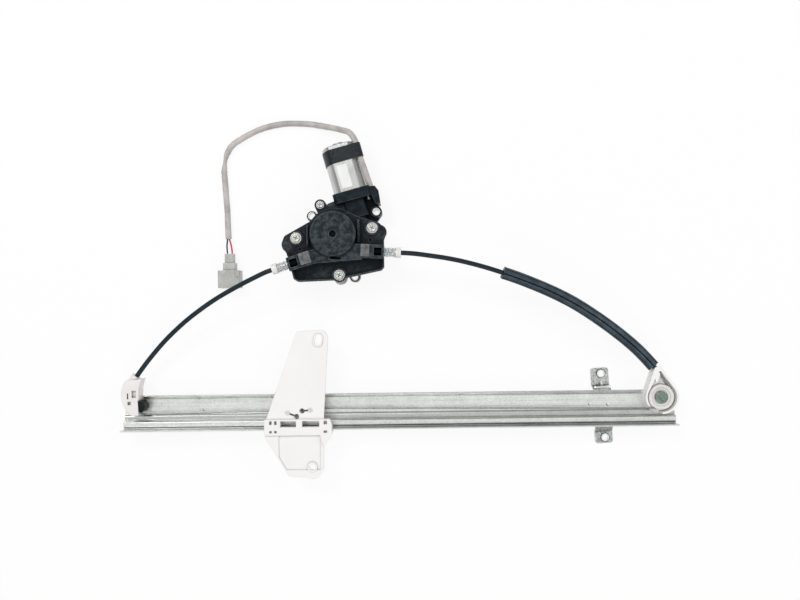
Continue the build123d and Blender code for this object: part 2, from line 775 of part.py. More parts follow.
def grommet_shape(gap):
    """Round strain relief of the lead, grown by a gap to cut its seat."""
    start, following = Vector(*lead_points[0]), Vector(*lead_points[1])
    direction = (following - start).normalized()
    frame = Plane(origin=start - (grommet_length + gap) * direction, z_dir=direction)
    seat_cut = extrude(frame * Circle(lead_radius + grommet_wall + gap), amount=grommet_length + gap)
    if gap:
        seat_cut += extrude(frame * Circle(lead_radius + loose), amount=2 * grommet_length)
    return seat_cut


def gear_housing():
    """Moulded case with the wheel's chamber, the worm's tunnel and the motor's mating face."""
    outer = chamber_radius() + case_wall
    body = column(drum_x, drum_y, plate_sheet, case_top, outer)
    body += motor_rod(shaft_start - 3.0, mouth_distance - mouth_depth + 1.0, tunnel_radius)
    mouth = along_motor(mouth_distance - mouth_depth)
    body += extrude(mouth * RectangleRounded(mouth_width, mouth_height, 5.0), amount=mouth_depth)
    neck = along_motor(12.0)
    body += extrude(neck * RectangleRounded(2 * tunnel_radius + 4, 2 * (case_top - worm_z) - 2, 3.0),
                    amount=mouth_distance - mouth_depth - 11.0)
    for x, y in housing_screws:
        body += ear(x, y, boss_radius, plate_sheet, case_top)
    body += ear(*case_screw, boss_radius + 0.8, plate_sheet, case_top - 1.0)
    body += ear(*mount_a, boss_radius, plate_sheet, plate_sheet + 6.0)
    body += ear(*mount_b, boss_radius, plate_sheet, plate_sheet + 6.0)
    # flange beside the tunnel with the third mounting hole
    x, y = mount_c
    side = worm_centre + (mouth_distance - 4.0) * motor_axis + 14.0 * motor_side
    flange = hull_of((x, y, mount_boss_radius), (side.X, side.Y, 3.0),
                     (worm_centre.X, worm_centre.Y - 6.0, 6.0), (worm_centre.X, worm_centre.Y + 24.0, 5.0))
    body += slab(flange, plate_sheet, plate_sheet + 10.0)
    body += column(x, y, plate_sheet, flange_top, mount_boss_radius)
    port = Pos(worm_centre.X, worm_centre.Y) * Rot(0, 0, motor_tilt) * outline(lead_port, 1.0)
    body += slab(port, plate_sheet, case_top - 0.5)
    # inside
    body -= column(drum_x, drum_y, 0, case_top - case_wall - 1.0, chamber_radius())
    body -= motor_rod(shaft_start - 0.6, mouth_distance + 1.0, tunnel_bore)
    pocket = along_motor(mouth_distance - mouth_depth + 2.0)
    body -= extrude(pocket * brush_pocket(0.0), amount=mouth_depth)
    for side in (-1, 1):
        hole = along_motor(mouth_distance - mouth_depth - 1.0) * Pos(side * can_screw_offset, 0)
        body -= extrude(hole * Circle(can_screw_radius + 0.1), amount=mouth_depth + 2.0)
    body -= grommet_shape(seat)
    body -= column(drum_x, drum_y, 0, case_top + 1, shaft_radius + 2.0 + seat)
    for x, y in (*housing_screws, case_screw):
        body -= column(x, y, case_top - screw_length, case_top + 1, screw_core_radius)
    for x, y in (mount_a, mount_b, mount_c):
        body -= column(x, y, 0, case_top + 1, mount_bore_radius + 0.9)
    # below the mounting face nothing remains
    body -= block(drum_x - 80, drum_x + 80, drum_y - 60, drum_y + 90, -20, plate_sheet)
    return body


def mount_plate():
    """Galvanised plate that closes the gear housing and carries the three mounting holes."""
    outer = chamber_radius() + case_wall
    plate = slab(Pos(drum_x, drum_y) * Circle(outer), 0, plate_sheet)
    lugs = [(*mount_a, mount_ear_radius), (*mount_b, mount_ear_radius), (*mount_c, mount_ear_radius),
            (*case_screw, boss_radius + 0.8), (housing_screws[2][0] - 0.9, housing_screws[2][1] - 2.3, 7.2)]
    lugs += [(x, y, boss_radius + 0.6) for x, y in housing_screws]
    for x, y, radius in lugs:
        plate += ear(x, y, radius, 0, plate_sheet)
    plate += slab(hull_of((worm_centre.X, worm_centre.Y + 24.0, 5.0), (*mount_c, 5.0),
                          (worm_centre.X, worm_centre.Y, 8.0)), 0, plate_sheet)
    for x, y in (mount_a, mount_b, mount_c):
        plate -= column(x, y, -1, plate_sheet + 1, mount_bore_radius)
    return plate


def mount_bushes():
    """Steel sleeves pressed into the three mounting bosses."""
    tops = (plate_sheet + 7.0, plate_sheet + 7.0, flange_top + 0.4)
    sleeves = []
    for (x, y), top in zip((mount_a, mount_b, mount_c), tops):
        sleeve = column(x, y, plate_sheet, top, mount_bore_radius + 0.9 - seat)
        sleeves.append(sleeve - column(x, y, 0, top + 1, mount_bore_radius))
    return group(sleeves)


# ------------------------------------------------------------------ gear train
def wheel_outline():
    """Toothed outline; a gap between two teeth faces the worm's thread at rest."""
    root = wheel_pitch_radius - dedendum
    tip = wheel_pitch_radius + addendum
    half = thread_pitch / 4 - tooth_play / 2
    half_root = (half + dedendum * tooth_slope) / root
    half_tip = (half - addendum * tooth_slope) / tip
    points = []
    for tooth in range(wheel_teeth):
        middle = radians(motor_tilt) + 2 * pi * tooth / wheel_teeth
        for radius, turn in ((root, -half_root), (tip, -half_tip), (tip, half_tip), (root, half_root)):
            points.append((radius * cos(middle + turn), radius * sin(middle + turn)))
    return make_face(Polyline(*points, close=True))


def sector(r0, r1, start, sweep_angle):
    """Flat ring sector round the drum's axis."""
    end = start + sweep_angle
    outer = CenterArc((0, 0), r1, start, sweep_angle)
    inner = CenterArc((0, 0), r0, start, sweep_angle)
    return make_face([outer, inner, Line(inner @ 0, outer @ 0), Line(inner @ 1, outer @ 1)])


def worm_wheel():
    """Moulded wheel with inclined teeth and three pockets for the rubber pads."""
    twist = degrees(wheel_face * lead_slope / wheel_pitch_radius)
    rim = Solid.extrude_linear_with_rotation(wheel_outline().face(), (0, 0, 0), (0, 0, wheel_face), twist)
    body = Pos(0, 0, wheel_bottom) * Rot(0, 0, -twist / 2) * Part(rim.wrapped)
    for i in range(3):
        pocket = sector(hub_radius, pocket_radius, 120.0 * i, 2 * pad_angle + dog_angle)
        body -= slab(pocket, pocket_floor, wheel_top + 1)
    body -= column(0, 0, 0, 40, shaft_radius + running)
    return Pos(drum_x, drum_y, 0) * body


def rubber_pads():
    """Six pads that cushion the drive between the wheel and the drive plate."""
    pads = []
    for i in range(3):
        for start in (120.0 * i, 120.0 * i + pad_angle + dog_angle):
            pad = sector(hub_radius + 0.2, pocket_radius - 0.2, start + 0.6, pad_angle - 1.2)
            pads.append(Pos(drum_x, drum_y, 0) * slab(pad, pocket_floor, wheel_top))
    return group(pads)


def drive_plate():
    """Plate on the shaft whose three dogs push on the rubber pads."""
    plate = column(0, 0, wheel_top + 0.3, wheel_top + 2.3, pocket_radius + 1.0)
    plate += column(0, 0, wheel_top + 0.3, wheel_top + 3.4, hub_radius - 1.0)
    for i in range(3):
        dog = sector(hub_radius + 0.4, pocket_radius - 0.4, 120.0 * i + pad_angle, dog_angle)
        plate += slab(dog, pocket_floor + 0.3, wheel_top + 1.0)
    plate -= column(0, 0, 0, 40, shaft_radius + seat)
    return Pos(drum_x, drum_y, 0) * plate


def drive_shaft():
    """Shaft of the wheel and the drum, with a hexagon for the drum."""
    round_part = column(drum_x, drum_y, plate_sheet + 1.0, drum_bottom - 0.5, shaft_radius)
    hexagon = slab(Pos(drum_x, drum_y) * RegularPolygon(hex_flats / sqrt(3), 6),
                   drum_bottom - 0.5, drum_top + 1.5)
    return round_part + (hexagon & column(drum_x, drum_y, 0, dome_top, shaft_radius))


def shaft_bushes():
    """Plain bearings of the shaft: one on the plate, one in the housing's roof."""
    bore = shaft_radius + running
    lower = column(drum_x, drum_y, plate_sheet, wheel_bottom - 0.4, shaft_radius + 3.5)
    lower -= column(drum_x, drum_y, 0, 40, bore)
    upper = column(drum_x, drum_y, case_top - case_wall - 1.0, case_top, shaft_radius + 2.0)
    upper -= column(drum_x, drum_y, 0, 40, bore)
    return group([lower, upper])


def groove_helix(radius_offset=0.0):
    height = drum_pitch * drum_turns
    base = cable_z - height / 2
    return Helix(drum_pitch, height, drum_pitch_radius + radius_offset, center=(drum_x, drum_y, base))


def diamond_along(path, half):
    """Square section on its corner, swept along a helix."""
    frame = Plane(origin=path @ 0, x_dir=Vector(1, 0, 0), z_dir=path % 0)
    face = frame * make_face(Polyline((-half, 0), (0, -half), (half, 0), (0, half), close=True))
    return sweep(face, path=path, is_frenet=True)


def cable_drum():
    """Grooved drum with a helical groove for the cable."""
    drum = column(drum_x, drum_y, drum_bottom, drum_top, drum_pitch_radius + drum_rim)
    drum -= diamond_along(groove_helix(0.35), wire_radius + 0.55)
    drum -= slab(Pos(drum_x, drum_y) * RegularPolygon((hex_flats + 2 * seat) / sqrt(3), 6), 0, dome_top)
    return drum


def wound_cable():
    """Cable wound on the drum."""
    return diamond_along(groove_helix(0.1), wire_radius)


# ----------------------------------------------------------------- drum housing
def drum_housing():
    """Moulded cover with the drum's dome, the base plate and the two cable exits."""
    base = outline(
        [(-340.6, 142.0), (-337.4, 150.6), (-306.0, 168.0), (-299.0, 172.4), (-271.5, 173.6),
         (-238.6, 163.6), (-229.6, 155.2), (-233.2, 145.0), (-233.2, 116.6), (-236.0, 113.4),
         (-272.3, 106.0), (-280.2, 102.6), (-287.0, 103.6), (-322.5, 102.4), (-327.4, 105.4),
         (-332.6, 127.6)],
        [5.0, 4.0, 2.0, 2.0, 3.0, 2.5, 4.5, 1.5, 2.0, 2.0, 1.0, 3.0, 1.0, 3.0, 3.0, 1.0])
    body = slab(base, case_top, case_top + base_sheet)
    # raised wall round the lower trough
    trough = offset(base, amount=-1.6)
    rim = slab(base, case_top, case_top + base_sheet + 5.0) - slab(trough, 0, dome_top)
    body += rim & block(-345, -225, 90, 131, 0, dome_top)
    body += column(drum_x, drum_y, case_top, dome_top, dome_radius)
    body = chamfer(body.edges().filter_by(GeomType.CIRCLE).sort_by(Axis.Z)[-1], 1.2)
    for frame, wall_x in ((left_exit, left_wall_x), (right_exit, right_wall_x)):
        reach = abs(frame.origin.X - drum_x)
        arm = Plane(origin=frame.origin, x_dir=(0, 0, 1), z_dir=-frame.z_dir)
        lift = case_top + block_top / 2 - cable_z
        body += extrude(arm * Pos(lift, 0) * Rectangle(block_top, block_width), amount=reach)
    body += slab(hull_of((-312.0, 122.5, 2.0), (-257.0, 126.5, 2.0), (drum_x + 3, drum_y - 23.5, 4.0)),
                 case_top, case_top + block_top)
    for x, y in housing_screws:
        body += column(x, y, case_top, case_top + base_sheet + 1.6, screw_head_radius + 1.4)
    # ribs from the dome to the ears
    for x, y0, y1 in ((-312.4, 140.0, 161.0), (-259.4, 143.0, 166.5)):
        body += block(x - 0.9, x + 0.9, y0, y1, case_top, case_top + 11.0)
    # inside
    body -= column(drum_x, drum_y, 0, dome_top - dome_wall, dome_radius - dome_wall)
    body -= column(drum_x, drum_y, 0, dome_top + 1, dome_hole_radius)
    for frame in (left_exit, right_exit):
        back = Plane(origin=frame.origin + 1.5 * frame.z_dir, x_dir=(0, 0, 1), z_dir=-frame.z_dir)
        body -= extrude(back * Circle(tube_radius + seat), amount=tube_length - tube_reach + 1.5)
        reach = abs(frame.origin.X - drum_x)
        body -= extrude(back * Circle(wire_radius + 0.6), amount=reach)
    for x, y in housing_screws:
        body -= column(x, y, 0, dome_top, 2.2)
        body -= column(x, y, case_top + base_sheet + 1.6, dome_top, screw_head_radius + 0.4)
    # windows over the tensioner seats and the slot under the dome
    for frame, sign in ((left_exit, 1), (right_exit, -1)):
        start = frame.origin - 2.2 * frame.z_dir
        window = Plane(origin=start, x_dir=(0, 0, 1), z_dir=-frame.z_dir)
        body -= extrude(window * Pos(block_top / 2 + 1.0, 0) * Rectangle(block_top, 8.4), amount=8.2)
    body -= slab(Pos(drum_x + 2.4, 126.2) * Rot(0, 0, -4) * Ellipse(6.4, 1.7), case_top + 8, dome_top)
    for x, y, radius in ((-321.3, 136.8, 1.6), (-247.5, 145.5, 1.9), (-237.3, 153.4, 1.6)):
        body -= column(x, y, case_top + 1.0, dome_top, radius)
    return body


def screw(x, y, seat_z, head_radius, head_height, shank_radius, length):
    head = column(x, y, seat_z, seat_z + head_height, head_radius)
    head = chamfer(head.edges().filter_by(GeomType.CIRCLE).sort_by(Axis.Z)[-1], 0.6)
    return head + column(x, y, seat_z - length, seat_z, shank_radius)


def drum_housing_screws():
    seat_z = case_top + base_sheet + 1.6
    screws = [screw(x, y, seat_z, screw_head_radius, screw_head_height, screw_core_radius - seat,
                    screw_length) for x, y in housing_screws]
    return group(screws)


def case_cover_screw():
    x, y = case_screw
    return screw(x, y, case_top - 1.0, 4.3, 2.4, screw_core_radius - seat, screw_length - 2.0)


# ------------------------------------------------------------------ tensioners
def tension_tube(frame):
    """Clear sleeve in the housing's exit, with the spring inside."""
    back = Plane(origin=frame.origin - (tube_length - tube_reach) * frame.z_dir,
                 x_dir=frame.x_dir, z_dir=frame.z_dir)
    return extrude(back * (Circle(tube_radius) - Circle(tube_radius - tube_wall)), amount=tube_length)


def tension_cap(frame):
    """Collar that closes the sleeve and holds the conduit."""
    front = Plane(origin=frame.origin + tube_reach * frame.z_dir, x_dir=frame.x_dir, z_dir=frame.z_dir)
    cap = extrude(front * Circle(cap_radius), amount=cap_length)
    plug = Plane(origin=front.origin - 3.0 * frame.z_dir, x_dir=frame.x_dir, z_dir=frame.z_dir)
    cap += extrude(plug * Circle(tube_radius - tube_wall - seat), amount=3.0)
    return cap - extrude(plug * Circle(conduit_radius + seat), amount=cap_length + 4.0)


def tension_spring(frame):
    """Compression spring between the housing and the collar."""
    start = -(tube_length - tube_reach) + spring_wire / 2 + 0.1
    end = tube_reach - 3.0 - spring_wire / 2 - 0.1
    height = end - start
    radius = tube_radius - tube_wall - spring_wire / 2 - 0.15
    coil = Helix(height / spring_coils, height, radius)
    face = Plane(origin=coil @ 0, z_dir=coil % 0) * Rectangle(spring_wire, spring_wire)
    spring = sweep(face, path=coil, is_frenet=True)
    base = Plane(origin=frame.origin + start * frame.z_dir, x_dir=frame.x_dir, z_dir=frame.z_dir)
    return base.location * spring


def housing_wires():
    """Bare cable from the drum to each conduit."""
    wires = []
    for angle, frame in ((left_exit_angle, left_exit), (right_exit_angle, right_exit)):
        start = drum_tangent(angle) + drum_clear_run * frame.z_dir
        wires.append(rod_between(start, frame.origin + (tube_reach - 1.0) * frame.z_dir, wire_radius))
    return group(wires)


# ----------------------------------------------------------------------- motor
def motor_can():
    """Drawn steel can with two flats and a bearing boss on its closed end."""
    outer = flat_sided(can_radius, can_flat)
    inner = flat_sided(can_radius - can_wall, can_flat - can_wall)
    body = extrude(along_motor(mouth_distance) * outer, amount=can_length)
    end_edges = body.edges().filter_by(lambda e: (e.center() - worm_centre).dot(motor_axis)
                                       > mouth_distance + can_length - 0.5)
    body = fillet(end_edges, 1.4)
    body += motor_rod(mouth_distance + can_length - 1.0, mouth_distance + can_length + end_boss_height,
                      end_boss_radius)
    ears = hull_of((-can_screw_offset, 0, 3.4), (can_screw_offset, 0, 3.4))
    body += extrude(along_motor(mouth_distance) * ears, amount=can_ear)
    body -= extrude(along_motor(mouth_distance) * inner, amount=can_length - can_wall)
    for side in (-1, 1):
        hole = along_motor(mouth_distance - 1.0) * Pos(side * can_screw_offset, 0)
        body -= extrude(hole * Circle(can_screw_radius), amount=can_ear + 2.0)
    body -= motor_rod(mouth_distance, mouth_distance + can_length + end_boss_height - can_wall,
                      bush_radius + seat)
    return body


def magnets():
    """Two arc magnets on the inside of the can."""
    radius = can_radius - can_wall - seat
    start = mouth_distance + 9.0
    pair = []
    for middle in (0.0, 180.0):
        arc = sector(radius - magnet_thickness, radius, middle - magnet_arc / 2, magnet_arc)
        pair.append(extrude(along_motor(start) * arc, amount=magnet_length))
    return group(pair)


def armature_core():
    """Slotted iron stack."""
    section = Circle(core_radius)
    for i in range(core_slots):
        angle = 360.0 * i / core_slots
        section -= Rot(0, 0, angle) * Pos(core_radius - 2.2, 0) * Rectangle(6.0, 2.4)
    section -= Circle(armature_shaft_radius + seat)
    return extrude(along_motor(core_start) * section, amount=core_length)


def armature_coils():
    """Copper coil heads at both ends of the stack, joined through its slots."""
    coils = motor_rod(core_start - coil_length, core_start, core_radius - 1.4, armature_shaft_radius + 0.6)
    coils += motor_rod(core_start + core_length, core_start + core_length + coil_length,
                       core_radius - 1.4, armature_shaft_radius + 0.6)
    for i in range(core_slots):
        angle = 360.0 * i / core_slots
        bar = Rot(0, 0, angle) * Pos(core_radius - 3.2, 0) * Rectangle(3.2, 2.2)
        coils += extrude(along_motor(core_start - 1.0) * bar, amount=core_length + 2.0)
    return coils


def commutator():
    section = Circle(commutator_radius) - Circle(armature_shaft_radius + seat)
    for i in range(core_slots):
        section -= Rot(0, 0, 360.0 * (i + 0.5) / core_slots) * Pos(commutator_radius, 0) * Rectangle(1.6, 0.5)
    return extrude(along_motor(commutator_start) * section, amount=commutator_length)


def motor_shaft():
    """Armature shaft with the worm cut on it."""
    half = thread_turns * thread_pitch / 2
    thread = Helix(thread_pitch, 2 * half - thread_pitch, worm_pitch_radius - 0.5,
                   center=(0, 0, -half + thread_pitch / 2))
    root = worm_pitch_radius - dedendum
    tip = worm_pitch_radius + addendum
    half_tip = thread_pitch / 4 - tooth_play / 2 - addendum * tooth_slope
    half_root = thread_pitch / 4 - tooth_play / 2 + dedendum * tooth_slope
    inset = worm_pitch_radius - 0.5
    frame = Plane(origin=thread @ 0, x_dir=(1, 0, 0), z_dir=thread % 0)
    face = make_face(Polyline((root - 0.3 - inset, -half_root), (tip - inset, -half_tip),
                              (tip - inset, half_tip), (root - 0.3 - inset, half_root), close=True))
    ridge = sweep(frame * face, path=thread, is_frenet=True)
    worm = ridge + Cylinder(root, 2 * half + 2.0 * thread_pitch)
    worm += column(0, 0, shaft_start, shaft_end, armature_shaft_radius)
    return along_motor(0).location * worm


def motor_bushes():
    """Three plain bearings of the armature shaft."""
    last = mouth_distance + can_length - 3.0
    spans = ((shaft_start + 0.5, shaft_start + 0.5 + bush_length, tunnel_bore - seat),
             (20.0, 20.0 + bush_length, tunnel_bore - seat),
             (last, last + bush_length - 1.0, bush_radius))
    bushes = [motor_rod(a, b, radius, armature_shaft_radius + running) for a, b, radius in spans]
    return group(bushes)


def brush_card():
    """Plate in the motor's mouth that carries the brushes."""
    thick, wide, reach = brush_size
    start = mouth_distance - mouth_depth + 3.0
    plate = extrude(along_motor(start) * brush_pocket(2 * seat), amount=2.4)
    plate -= motor_rod(start - 1, start + 4, commutator_radius + 1.0)
    middle = commutator_radius + 1.2 + reach / 2
    for side in (-1, 1):
        sleeve = along_motor(start) * Pos(side * middle, 0) * Rectangle(reach, wide + 1.6)
        plate += extrude(sleeve, amount=brush_start + thick + 0.8 - start)
        channel = along_motor(brush_start - seat) * Pos(side * middle, 0) * Rectangle(reach + 2, wide + 2 * seat)
        plate -= extrude(channel, amount=thick + 2 * seat)
    return plate


def brushes():
    """Two carbon brushes on opposite sides of the commutator."""
    thick, wide, reach = brush_size
    pair = []
    for side in (-1, 1):
        x0 = commutator_radius + 0.1 + reach / 2
        face = along_motor(brush_start) * Pos(side * x0, 0) * Rectangle(reach, wide)
        pair.append(extrude(face, amount=thick))
    return group(pair)


def can_screws():
    """Two screws that pull the can against the gear housing."""
    pair = []
    back = mouth_distance - mouth_depth
    for side in (-1, 1):
        spot = Pos(side * can_screw_offset, 0)
        head = extrude(along_motor(back - 2.4) * spot * Circle(2.0 * can_screw_radius), amount=2.4)
        shank = extrude(along_motor(back) * spot * Circle(can_screw_radius - seat), amount=mouth_depth + can_ear)
        pair.append(head + shank)
    return group(pair)


def tape_section(gap):
    """Outline of a band drawn tight round the can and the lead beside it."""
    can = flat_sided(can_radius + gap, can_flat + gap)
    _, side, z = lead_beside_motor[2]
    lead = Pos(-side, z - worm_z) * Circle(lead_radius + gap + band_slack)
    return make_hull([*can.edges(), *lead.edges()])


def tape_band():
    """Tape wound round the can and the lead."""
    section = tape_section(seat + band_thickness) - tape_section(seat)
    return extrude(along_motor(mouth_distance + band_start) * section, amount=band_length)


def can_label():
    """Blank sticker on the can's front flat."""
    wide, tall, thick = label_size
    middle = mouth_distance + 3.0 + tall / 2
    frame = Plane(origin=worm_centre + middle * motor_axis + Vector(0, 0, can_flat),
                  x_dir=motor_side, z_dir=(0, 0, 1))
    return extrude(frame * Pos(-2.2, 0) * RectangleRounded(wide, tall, 0.8), amount=thick)


# ------------------------------------------------------------------------ lead
def lead_sleeve():
    return tube_along(smooth_path(lead_points), lead_radius)


def lead_grommet():
    """Strain relief where the lead leaves the gear housing."""
    return grommet_shape(0.0)


def lead_wire(side):
    """One bare-insulated core between the sleeve and the connector."""
    end = Vector(*lead_points[-1])
    target = Vector(connector_x + side * core_wire_gap, connector_back_y, connector_height / 2)
    heading = (end - Vector(*lead_points[-2])).normalized()
    start = end + 0.3 * heading + Vector(side * core_wire_radius * 1.2, 0, 0)
    middle = Vector((start.X + target.X) / 2 + side * 0.7, (start.Y + target.Y) / 2 + 0.4,
                    (start.Z + target.Z) / 2 + 0.5)
    return tube_along(smooth_path([start, middle, target]), core_wire_radius)


def connector_housing():
    """Two-way plug housing with an open hood."""
    x, y = connector_x, connector_back_y
    neck_end = y - neck_length
    shoulder_end = neck_end - shoulder_length
    front = y - connector_length
    body = block(x - neck_width / 2, x + neck_width / 2, neck_end, y, 2.6, connector_height - 2.6)
    body += block(x - shoulder_width / 2, x + shoulder_width / 2, shoulder_end, neck_end,
                  1.4, connector_height - 1.4)
    body += block(x - connector_width / 2, x + connector_width / 2, front, shoulder_end,
                  0, connector_height)
    body = fillet(body.edges().filter_by(Axis.Y), 0.9)
    wall = connector_wall
    body -= block(x - connector_width / 2 + wall, x + connector_width / 2 - wall, front - 1,
                  shoulder_end - 2.0, wall, connector_height - wall)
    body += block(x + connector_width / 2 - 4.0, x + connector_width / 2 - 0.4, shoulder_end - 6.0,
                  shoulder_end, connector_height - 1.0, connector_height + 1.2)
    for side in (-1, 1):
        middle = x + side * core_wire_gap
        body -= block(middle - 1.6, middle + 1.6, front, shoulder_end + 3.0,
                      connector_height / 2 - 0.5, connector_height / 2 + 0.5)
        hole = Plane(origin=(middle, y + 1, connector_height / 2), z_dir=(0, -1, 0))
        body -= extrude(hole * Circle(core_wire_radius + 0.15), amount=1.5)
    return body


def terminals():
    """Two blades inside the hood."""
    blades = []
    shoulder_end = connector_back_y - neck_length - shoulder_length
    for side in (-1, 1):
        middle = connector_x + side * core_wire_gap
        blades.append(block(middle - 1.6 + seat, middle + 1.6 - seat, shoulder_end - 12.0, shoulder_end + 3.0,
                            connector_height / 2 - 0.4, connector_height / 2 + 0.4))
    return group(blades)


# --------------------------------------------------------------------- export
nodes = {
    "guide_rail": guide_rail,
    "rail_bracket": rail_bracket,
    "cable_guide": cable_guide,
    "bumper": bumper,
    "pulley_housing": pulley_housing,
    "pulley": pulley,
    "pulley_rivet": pulley_rivet,
    "glass_carrier": glass_carrier,
    "cable_nipples": cable_nipples,
    "wire_left_run": wire_left_run,
    "wire_right_run": wire_right_run,
    "wire_at_guide": wire_at_guide,
    "wire_at_pulley": wire_at_pulley,
    "conduit_left": conduit_left,
    "conduit_right": conduit_right,
    "conduit_sleeve": conduit_sleeve,
    "gear_housing": gear_housing,
    "mount_plate": mount_plate,
    "mount_bushes": mount_bushes,
    "worm_wheel": worm_wheel,
    "rubber_pads": rubber_pads,
    "drive_plate": drive_plate,
    "drive_shaft": drive_shaft,
    "shaft_bushes": shaft_bushes,
    "cable_drum": cable_drum,
    "wound_cable": wound_cable,
    "drum_housing": drum_housing,
    "drum_housing_screws": drum_housing_screws,
    "case_screw": case_cover_screw,
    "tension_tube_left": lambda: tension_tube(left_exit),
    "tension_tube_right": lambda: tension_tube(right_exit),
    "tension_cap_left": lambda: tension_cap(left_exit),
    "tension_cap_right": lambda: tension_cap(right_exit),
    "tension_spring_left": lambda: tension_spring(left_exit),
    "tension_spring_right": lambda: tension_spring(right_exit),
    "housing_wires": housing_wires,
    "motor_can": motor_can,
    "magnets": magnets,
    "armature_core": armature_core,
    "armature_coils": armature_coils,
    "commutator": commutator,
    "motor_shaft": motor_shaft,
    "motor_bushes": motor_bushes,
    "brush_card": brush_card,
    "brushes": brushes,
    "can_screws": can_screws,
    "tape_band": tape_band,
    "can_label": can_label,
    "lead_sleeve": lead_sleeve,
    "lead_grommet": lead_grommet,
    "lead_wire_left": lambda: lead_wire(-1),
    "lead_wire_right": lambda: lead_wire(1),
    "connector_housing": connector_housing,
    "terminals": terminals,
}

os.makedirs("parts", exist_ok=True)
for name, build in nodes.items():
    export(name, build())

print("lead radii", [round(r, 1) for r in corner_radii(lead_points)])
print("lead length", round(smooth_path(lead_points).length, 1))
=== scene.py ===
# %% [markdown]
# # A cable window regulator
#
# A window regulator lifts the glass of a car door. A motor turns a small drum through a worm gear, the drum
# winds a steel cable in at one end and out at the other, and the cable pulls a white carrier along a pressed
# steel rail. The solids come ready made; this notebook gives them their finishes and adds the fine pieces
# that are easier to make as surfaces. Lengths here are in metres unless a name ends in `_mm`.

# %% Load the frame
import json
from math import cos, pi, radians, sin

import bpy
import numpy as np
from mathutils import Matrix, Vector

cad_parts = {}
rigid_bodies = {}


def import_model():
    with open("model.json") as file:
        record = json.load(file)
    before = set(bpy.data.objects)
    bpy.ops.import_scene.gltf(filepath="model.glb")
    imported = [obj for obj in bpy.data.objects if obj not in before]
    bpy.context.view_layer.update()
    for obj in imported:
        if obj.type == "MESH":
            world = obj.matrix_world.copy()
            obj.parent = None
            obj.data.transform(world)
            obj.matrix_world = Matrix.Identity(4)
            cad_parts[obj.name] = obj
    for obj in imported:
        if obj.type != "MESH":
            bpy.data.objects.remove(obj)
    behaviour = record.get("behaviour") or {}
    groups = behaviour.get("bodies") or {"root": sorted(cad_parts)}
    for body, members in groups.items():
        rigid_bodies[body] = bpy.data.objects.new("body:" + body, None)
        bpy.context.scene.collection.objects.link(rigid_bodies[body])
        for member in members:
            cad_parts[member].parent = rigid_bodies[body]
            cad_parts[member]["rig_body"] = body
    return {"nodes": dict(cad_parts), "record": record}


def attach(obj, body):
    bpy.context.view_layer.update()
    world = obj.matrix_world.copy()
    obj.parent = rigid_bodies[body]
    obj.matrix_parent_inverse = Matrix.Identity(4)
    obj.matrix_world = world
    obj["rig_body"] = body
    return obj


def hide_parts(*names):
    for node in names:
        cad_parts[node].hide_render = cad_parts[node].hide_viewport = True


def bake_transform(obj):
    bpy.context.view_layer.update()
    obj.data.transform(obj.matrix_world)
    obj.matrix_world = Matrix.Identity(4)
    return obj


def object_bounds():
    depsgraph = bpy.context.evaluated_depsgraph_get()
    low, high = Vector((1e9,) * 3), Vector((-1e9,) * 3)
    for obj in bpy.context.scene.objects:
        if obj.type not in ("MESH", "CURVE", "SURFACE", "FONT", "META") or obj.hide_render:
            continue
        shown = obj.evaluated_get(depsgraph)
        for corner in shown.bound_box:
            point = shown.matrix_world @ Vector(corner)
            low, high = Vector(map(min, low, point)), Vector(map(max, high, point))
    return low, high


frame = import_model()
cad_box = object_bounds()
nodes = frame["nodes"]
mm = 0.001

# %% [markdown]
# ## The camera
#
# The regulator lies flat and is looked at from straight above. A camera needs a place, a direction and a
# lens. With a 36 mm wide sensor, the lens length is 36 times the distance, divided by the width that the
# render covers at that distance. The camera is turned by a fraction of a degree about its own axis.

# %% The camera
camera_height = 0.8
picture_width = 0.8719
camera_turn = radians(0.69)
camera_spot = (-0.21727, 0.08246, camera_height)

camera_data = bpy.data.cameras.new("camera")
camera_data.sensor_width = 36.0
camera_data.lens = camera_data.sensor_width * camera_height / picture_width
camera = bpy.data.objects.new("camera", camera_data)
camera.location = camera_spot
camera.rotation_euler = (0.0, 0.0, -camera_turn)
bpy.context.scene.collection.objects.link(camera)
bpy.context.scene.camera = camera
print("lens", round(camera_data.lens, 2), "mm")

# %% [markdown]
# ## Writing materials as sums
#
# A procedural material is arithmetic: a noise times a strength plus a colour. Dragging nodes for that is slow
# to read, so one small class wraps a socket and lets Python's own signs add the Math nodes. `Finish` holds
# one material and has one method, `node`, for every other kind of node.

# %% A value in a material
class Value:
    """A number on its way through a material; arithmetic on it adds Math nodes."""

    def __init__(self, finish, socket):
        self.finish = finish
        self.socket = socket

    def maths(self, operation, first, second):
        """One Math node of that operation on two values or numbers."""
        return self.finish.node("ShaderNodeMath", {"operation": operation}, {0: first, 1: second})

    def __add__(self, other):
        return self.maths("ADD", self, other)

    def __sub__(self, other):
        return self.maths("SUBTRACT", self, other)

    def __rsub__(self, other):
        return self.maths("SUBTRACT", other, self)

    def __mul__(self, other):
        return self.maths("MULTIPLY", self, other)

    __radd__ = __add__
    __rmul__ = __mul__


